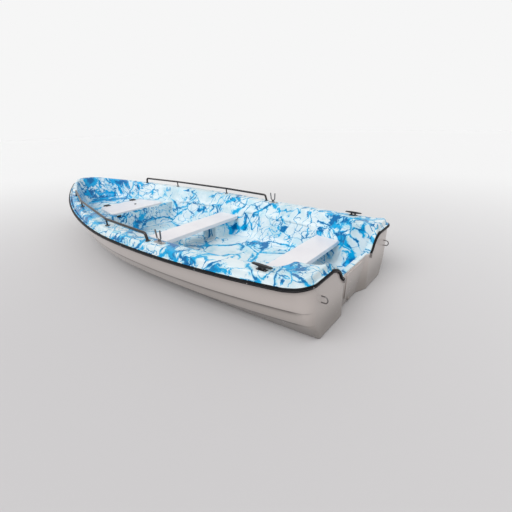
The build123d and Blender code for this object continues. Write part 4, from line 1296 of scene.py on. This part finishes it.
RAIL_FACE = 12.6           # the rub rail's outer face, outward of the line that it follows
SCREW_SEAT = 10.7          # where its screws' washers lie
SHOULDER = (262.0, 440.0)  # half breadths of the notch's lower corner and of the end of its shoulder
SHOULDER_STEPS = 30        # points along the shoulder
SHOULDER_FALL = 1.1        # slope of the rail's line inward of the lower corner
RAIL_START, LIP_START = 246.0, 420.0       # half breadths where the rail and the pale lip begin
RAIL_STEPS = (16, 60, 24, 60, 24)          # points along each of the rail's arcs
RAIL_NODE = ("rub_rail", "black_pvc")      # what the rail and its insert stand for, and their slot
LIP_PLACE = (-8.5, 13.5, 2.5)              # outset and lift from the rail's line, and station at the transom


class RubRailSizes(bpy.types.PropertyGroup):
    """Sizes of the rub rail and the pale lip above it."""

    tall: length_property("Height", "Height of the rub rail", 0.022)
    deep: length_property("Depth", "Depth of the rub rail, with what lies over the flange", 0.022)
    rounding: length_property("Rounding", "Radius along the rub rail's edges", 0.0075)
    insert_tall: length_property("Insert height", "Height of the soft insert in its face", 0.007)
    insert_deep: length_property("Insert depth", "Depth of the insert", 0.008)
    insert_round: length_property("Insert rounding", "Radius along the insert's edges", 0.0028)
    insert_proud: length_property("Insert proud", "How far the insert stands out", 0.0006)
    lip_tall: length_property("Lip height", "Height of the liner's pale lip above the rail", 0.006)
    lip_deep: length_property("Lip depth", "Depth of the pale lip", 0.012)
    lip_round: length_property("Lip rounding", "Radius along the pale lip's edges", 0.003)


def rail_line(outset, lift, aft, start_y=RAIL_START):
    """Points and outward directions along the rub rail, from the notch round the bow to the notch again."""
    arcs = plan_arcs(*RAIL_PLAN)
    corner, end = SHOULDER
    y = np.linspace(start_y, end, SHOULDER_STEPS)
    z = smooth_line(NOTCH[3:], np.maximum(y, corner)) + np.minimum(y - corner, 0) * SHOULDER_FALL
    shoulder = np.column_stack([np.full(len(y), aft), y, z])
    run = straight((aft, end), (aft, arcs[0][0][1]), 10)[1:]
    sides, outward = arcs_run(arcs, RAIL_STEPS)
    run = np.vstack([run, sides + outward * outset])
    points = np.vstack([shoulder, np.column_stack([run, sheer(run[:, 0])])])
    turns = np.vstack([np.tile(ASTERN, (len(points) - len(sides), 1)), outward])
    # on the transom the line lies at the aft faces, and turns into the sides' line round the corner
    blend = np.clip((points[:, 0] - aft) / RAIL_CORNER, 0, 1)
    shift = (-outset - aft) * (1 - blend) ** 2 * (abs(turns[:, 0]) ** 3)
    points[:, 0] -= np.where(across_stern(turns), 0, shift)
    points[:, 2] += lift
    points = np.vstack([points, points[-2::-1] * (1, -1, 1)])
    turns = np.vstack([turns, turns[-2::-1] * (1, -1)])
    return points, np.column_stack([turns, np.zeros(len(turns))])


class BOAT_OT_rub_rail(bpy.types.Operator):
    """Sweep the rub rail, its insert and the pale lip above it round the hull's edge"""

    bl_idname = "boat.rub_rail"
    bl_label = "Rub rail"

    def execute(self, context):
        sizes = context.scene.boat_rub_rail
        recipe = band_recipe()
        middle = RAIL_FACE - sizes.deep * MM / 2
        core = RAIL_FACE + sizes.insert_proud * MM - sizes.insert_deep * MM / 2
        band = (sizes.tall, sizes.deep, sizes.rounding)
        insert = (sizes.insert_tall, sizes.insert_deep, sizes.insert_round)
        lip = (sizes.lip_tall, sizes.lip_deep, sizes.lip_round)
        # name, (outset, lift, aft station), start, (height, depth, rounding), finish, node, slot
        bands = [("rub_rail_band", (middle, 0.0, -middle), RAIL_START, band, "black_rubber", *RAIL_NODE),
                 ("rub_rail_insert", (core, 0.0, -core), RAIL_START, insert, "black_nylon", *RAIL_NODE),
                 ("gunwale_lip", LIP_PLACE, LIP_START, lip, "splashed_gelcoat", "liner", "liner_gelcoat")]
        for name, place, start, (tall, deep, rounding), look, node, slot in bands:
            points, turns = rail_line(*place, start)
            edges = [(k, k + 1) for k in range(len(points) - 1)]
            values = {"Tall": tall, "Deep": deep, "Rounding": rounding, "Material": finish(look)}
            piece = made_by(recipe, name, in_metres(points), edges, "outward", turns, values)
            merged(piece.data, turn_out=True)
            smoothed(piece.data, 50)
            riding(piece, node, slot=slot)
        return {"FINISHED"}


class FastenerSizes(bpy.types.PropertyGroup):
    """Sizes and counts of the screws."""

    rail_screw: length_property("Rail screw", "Head radius of the screws in the rub rail", 0.0050)
    deck_screw: length_property("Fitting screw", "Head radius of the screws in the gunwale fittings", 0.0045)
    hinge_screw: length_property("Hinge screw", "Head radius of the screws in the hinges", 0.0036)
    rail_pitch: length_property("Rail screw pitch", "Distance between the rub rail's screws", 0.42)
    per_foot: IntProperty(name="Screws per foot", description="Screws in each foot of the grab rails",
                          default=3, min=2)


# stations and insets from the rub rail's line of what the screws hold, in millimetres
RAIL_FEET, FEET_INSET = (1412.0, 2040.0, 2815.0, 3293.0), 88.0
SOCKET_PLACE, CLEAT_PLACE = (1300.0, 112.0), (338.0, 80.0)
# in metres: the rub rail's end screws from its ends, the screws' places on each fitting, its thickness there
RAIL_END = 0.02
FOOT_RING, FOOT_THICK = 0.0148, 0.005
SOCKET_REACH, SOCKET_THICK = 0.044, 0.004
CLEAT_REACH, CLEAT_THICK = (0.029, 0.0105), 0.006
HINGES = (0.170, -0.170)
LEAF_SCREWS, LEAF_EDGE, LEAF_THICK = (-0.021, 0.0, 0.021), 0.011, 0.004
BASE_SCREWS, BASE_EDGE = (-0.02, 0.02), 0.009
SIDE_COLUMNS = 50          # the gunwale's columns before its sides


def deck_point(s, inset, rise=0.0, side=1):
    """Point in metres on the gunwale's top at an inset from the rub rail's centreline."""
    lines, turns = gunwale_lines(0.0)
    plan = (lines - turns * inset)[SIDE_COLUMNS:len(lines) // 2 + 1]
    y = np.interp(s, plan[:, 0], plan[:, 1])
    z = float(sheer(s)) + bpy.context.scene.boat_liner.coaming_tall * MM
    return np.array([(s - MIDDLE) / MM, side * y / MM, z / MM + rise])


def middle_of(node):
    """Plan middle of a node's box."""
    low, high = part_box(node)
    return [(low[k] + high[k]) / 2 for k in (0, 1)]


def rail_screws(pitch):
    """Places and facing directions of the rub rail's screws."""
    rail, turns = rail_line(SCREW_SEAT, 0.0, -SCREW_SEAT)
    rail = in_metres(rail)
    gaps = lengths_along(rail)
    at = np.linspace(RAIL_END, gaps[-1] - RAIL_END, int(gaps[-1] / pitch) + 1)
    return sampled(rail, gaps, at), sampled(turns, gaps, at)


def deck_screws(per_foot):
    """Places of the screws in the rowlock sockets, the grab rails' feet and the cleats."""
    places = []
    for side, name in ((1, "port"), (-1, "starboard")):
        x, y = middle_of(name + "_rowlock_socket")
        level = deck_point(*SOCKET_PLACE, SOCKET_THICK)[2]
        places += [(x + dx, y, level) for dx in (-SOCKET_REACH, SOCKET_REACH)]
        for s in RAIL_FEET:
            foot = deck_point(s, FEET_INSET, FOOT_THICK, side)
            for k in range(per_foot):
                turn = math.tau * (k + 0.25) / per_foot
                places.append(tuple(foot + (FOOT_RING * math.cos(turn), FOOT_RING * math.sin(turn), 0)))
        x, y = middle_of(name + "_cleat")
        level = deck_point(*CLEAT_PLACE, CLEAT_THICK)[2]
        places += [(x + dx, y + dy, level) for dx in (-CLEAT_REACH[0], CLEAT_REACH[0])
                   for dy in (-CLEAT_REACH[1], CLEAT_REACH[1])]
    return places


class BOAT_OT_fastenings(bpy.types.Operator):
    """Put domed screws in the rub rail, the grab rails' feet, the sockets, the cleats and the hinges"""

    bl_idname = "boat.fastenings"
    bl_label = "Fastenings"

    def execute(self, context):
        sizes = context.scene.boat_fasteners
        recipe = screw_recipe()
        leaves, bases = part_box("lid_hinge_leaves"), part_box("lid_hinge_bases")
        x, z = leaves[0][0] + LEAF_EDGE, leaves[0][2] + LEAF_THICK
        lid = [(x, y + dy, z) for y in HINGES for dy in LEAF_SCREWS]
        x, z = bases[1][0] - BASE_EDGE, bases[1][2]
        hinges = [(x, y + dy, z) for y in HINGES for dy in BASE_SCREWS]
        sets = [("rub_rail_screws", *rail_screws(sizes.rail_pitch), sizes.rail_screw, "boat"),
                ("deck_screws", deck_screws(sizes.per_foot), None, sizes.deck_screw, "boat"),
                ("hinge_base_screws", hinges, None, sizes.hinge_screw, "boat"),
                ("hinge_leaf_screws", lid, None, sizes.hinge_screw, "locker_lid")]
        for name, places, facing, radius, body in sets:
            facing = np.tile((0.0, 0.0, 1.0), (len(places), 1)) if facing is None else facing
            values = {"Radius": radius, "Material": finish("bright_steel")}
            screws = made_by(recipe, name, places, [], "facing", facing, values)
            smoothed(screws.data, 35)
            riding(screws, slot="stainless", body=body)
        return {"FINISHED"}


NODE_LOOKS = {"mid_thwart": "white_gelcoat", "aft_thwart": "white_gelcoat", "bow_locker_lid": "white_gelcoat",
              "lid_hinge_leaves": "black_nylon", "lid_hinge_bases": "black_nylon", "lid_pull": "black_nylon",
              "lid_catch": "black_nylon", "motor_pad": "hull_paint", "drain_plug": "hull_paint",
              "rub_rail_end_caps": "bright_steel", "bow_eye": "bright_steel"}
PAIRED_LOOKS = {"grab_rail": "dark_steel", "rowlock_socket": "bright_steel", "rowlock": "worn_steel",
                "cleat": "black_nylon", "stern_eye": "worn_steel"}


class BOAT_OT_fittings(bpy.types.Operator):
    """Give the thwarts, the lid and the fittings their finishes"""

    bl_idname = "boat.fittings"
    bl_label = "Fittings"

    def execute(self, context):
        looks = dict(NODE_LOOKS)
        for name, look in PAIRED_LOOKS.items():
            looks.update({side + "_" + name: look for side in ("port", "starboard")})
        for name, look in looks.items():
            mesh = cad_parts[name].data
            mesh.materials.clear()
            mesh.materials.append(finish(look))
        return {"FINISHED"}


class StageSettings(bpy.types.PropertyGroup):
    """The floor, the lights and the camera."""

    floor_half: length_property("Floor half width", "Half the floor's width", 30.0)
    sky: number_property("Sky", "Strength of the world's light", 0.50, min=0)
    key: number_property("Key", "Strength of the large soft light high on the port side", 1.9, min=0)
    fill: number_property("Fill", "Strength of the soft light from astern", 0.43, min=0)
    yaw: number_property("Yaw", "Camera heading", -0.931, subtype="ANGLE")
    pitch: number_property("Pitch", "Camera pitch down", 0.426, subtype="ANGLE")
    roll: number_property("Roll", "Camera roll", -0.0209, subtype="ANGLE")
    lens: number_property("Lens", "Focal length in millimetres", 21.44)
    shift: number_property("Shift", "Sideways shift of the lens", -0.0449)


CAMERA_PLACE = (-2.7759, 1.9087, 1.284)
KEY_PLACE, FILL_PLACE = (0.3, 2.3, 2.7), (-2.4, -0.2, 2.2)
KEY_SPREAD, FILL_SPREAD = 60.0, 70.0       # how wide the lamps look, in degrees
BACKDROP = (246, 246, 246)


class BOAT_OT_stage(bpy.types.Operator):
    """Set up the pale floor, the soft lights and the camera"""

    bl_idname = "boat.stage"
    bl_label = "Stage"

    def execute(self, context):
        scene, settings = context.scene, context.scene.boat_stage
        half = settings.floor_half
        mesh = bpy.data.meshes.new("studio_floor")
        corners = [(-half, -half, 0), (half, -half, 0), (half, half, 0), (-half, half, 0)]
        mesh.from_pydata(corners, [], [(0, 1, 2, 3)])
        mesh.materials.append(finish("studio_floor"))
        linked("studio_floor", mesh)
        self.light_world(scene, settings)
        for name, place, spread, power in (("key_light", KEY_PLACE, KEY_SPREAD, settings.key),
                                           ("fill_light", FILL_PLACE, FILL_SPREAD, settings.fill)):
            lamp = bpy.data.lights.new(name, "SUN")
            lamp.energy, lamp.angle = power, math.radians(spread)
            light = linked(name, lamp)
            light.location = place
            light.rotation_euler = (-Vector(place)).to_track_quat("-Z", "Y").to_euler()
        self.point_camera(scene, settings)
        scene.view_settings.view_transform = "Standard"
        return {"FINISHED"}

    @staticmethod
    def light_world(scene, settings):
        """Even pale light, with a pale backdrop where the camera or a mirror looks past the floor."""
        scene.world = bpy.data.worlds.new("studio")
        scene.world.use_nodes = True
        w = Tree(scene.world.node_tree)
        light = w.tree.nodes["Background"]
        light.inputs["Color"].default_value = (1.0, 1.0, 1.0, 1.0)
        light.inputs["Strength"].default_value = settings.sky
        backdrop = w.node("ShaderNodeBackground", None, [tinted(linear(*BACKDROP))])[0]
        shown = w.node("ShaderNodeMixShader", None, [w.seen(), Value(w, light.outputs[0]), backdrop])[0]
        w.join(shown, w.tree.nodes["World Output"].inputs["Surface"])

    @staticmethod
    def point_camera(scene, settings):
        yaw, pitch, roll = settings.yaw, settings.pitch, settings.roll
        forward = Vector((math.cos(pitch) * math.cos(yaw), math.cos(pitch) * math.sin(yaw), -math.sin(pitch)))
        level = forward.cross(Vector((0, 0, 1))).normalized()
        rise = level.cross(forward)
        right = level * math.cos(roll) + rise * math.sin(roll)
        up = rise * math.cos(roll) - level * math.sin(roll)
        camera = bpy.data.cameras.new("camera")
        camera.sensor_width, camera.lens = 36.0, settings.lens
        camera.shift_x, camera.clip_start = settings.shift, 0.05
        eye = linked("camera", camera)
        turn = Matrix((right, up, -forward)).transposed().to_4x4()
        eye.matrix_world = Matrix.Translation(Vector(CAMERA_PLACE)) @ turn
        scene.camera = eye


OPERATORS = (BOAT_OT_hull, BOAT_OT_liner, BOAT_OT_bow_locker, BOAT_OT_risers, BOAT_OT_rub_rail,
             BOAT_OT_fastenings, BOAT_OT_fittings, BOAT_OT_stage)
GROUPS = {"boat_palette": Palette, "boat_hull": HullSizes, "boat_liner": LinerSizes,
          "boat_bow_locker": BowLockerSizes, "boat_rub_rail": RubRailSizes, "boat_fasteners": FastenerSizes,
          "boat_stage": StageSettings}


class BOAT_PT_panel(bpy.types.Panel):
    """Sizes and colours of the boat, with a button for each group of pieces"""

    bl_idname = "BOAT_PT_panel"
    bl_label = "Moulded Rowing Boat"
    bl_space_type = "VIEW_3D"
    bl_region_type = "UI"
    bl_category = "Boat"

    def draw(self, context):
        for operator in OPERATORS:
            self.layout.operator(operator.bl_idname)
        for name, group in GROUPS.items():
            box = self.layout.box()
            for prop in group.__annotations__:
                box.prop(getattr(context.scene, name), prop)


def register():
    for cls in (*GROUPS.values(), *OPERATORS, BOAT_PT_panel):
        bpy.utils.register_class(cls)
    for name, group in GROUPS.items():
        setattr(bpy.types.Scene, name, PointerProperty(type=group))


def unregister():
    for name in GROUPS:
        delattr(bpy.types.Scene, name)
    for cls in (BOAT_PT_panel, *reversed(OPERATORS), *reversed(tuple(GROUPS.values()))):
        bpy.utils.unregister_class(cls)


def main():
    register()
    for operator in OPERATORS:
        group, name = operator.bl_idname.split(".")
        getattr(getattr(bpy.ops, group), name)()


if __name__ == "__main__":
    main()
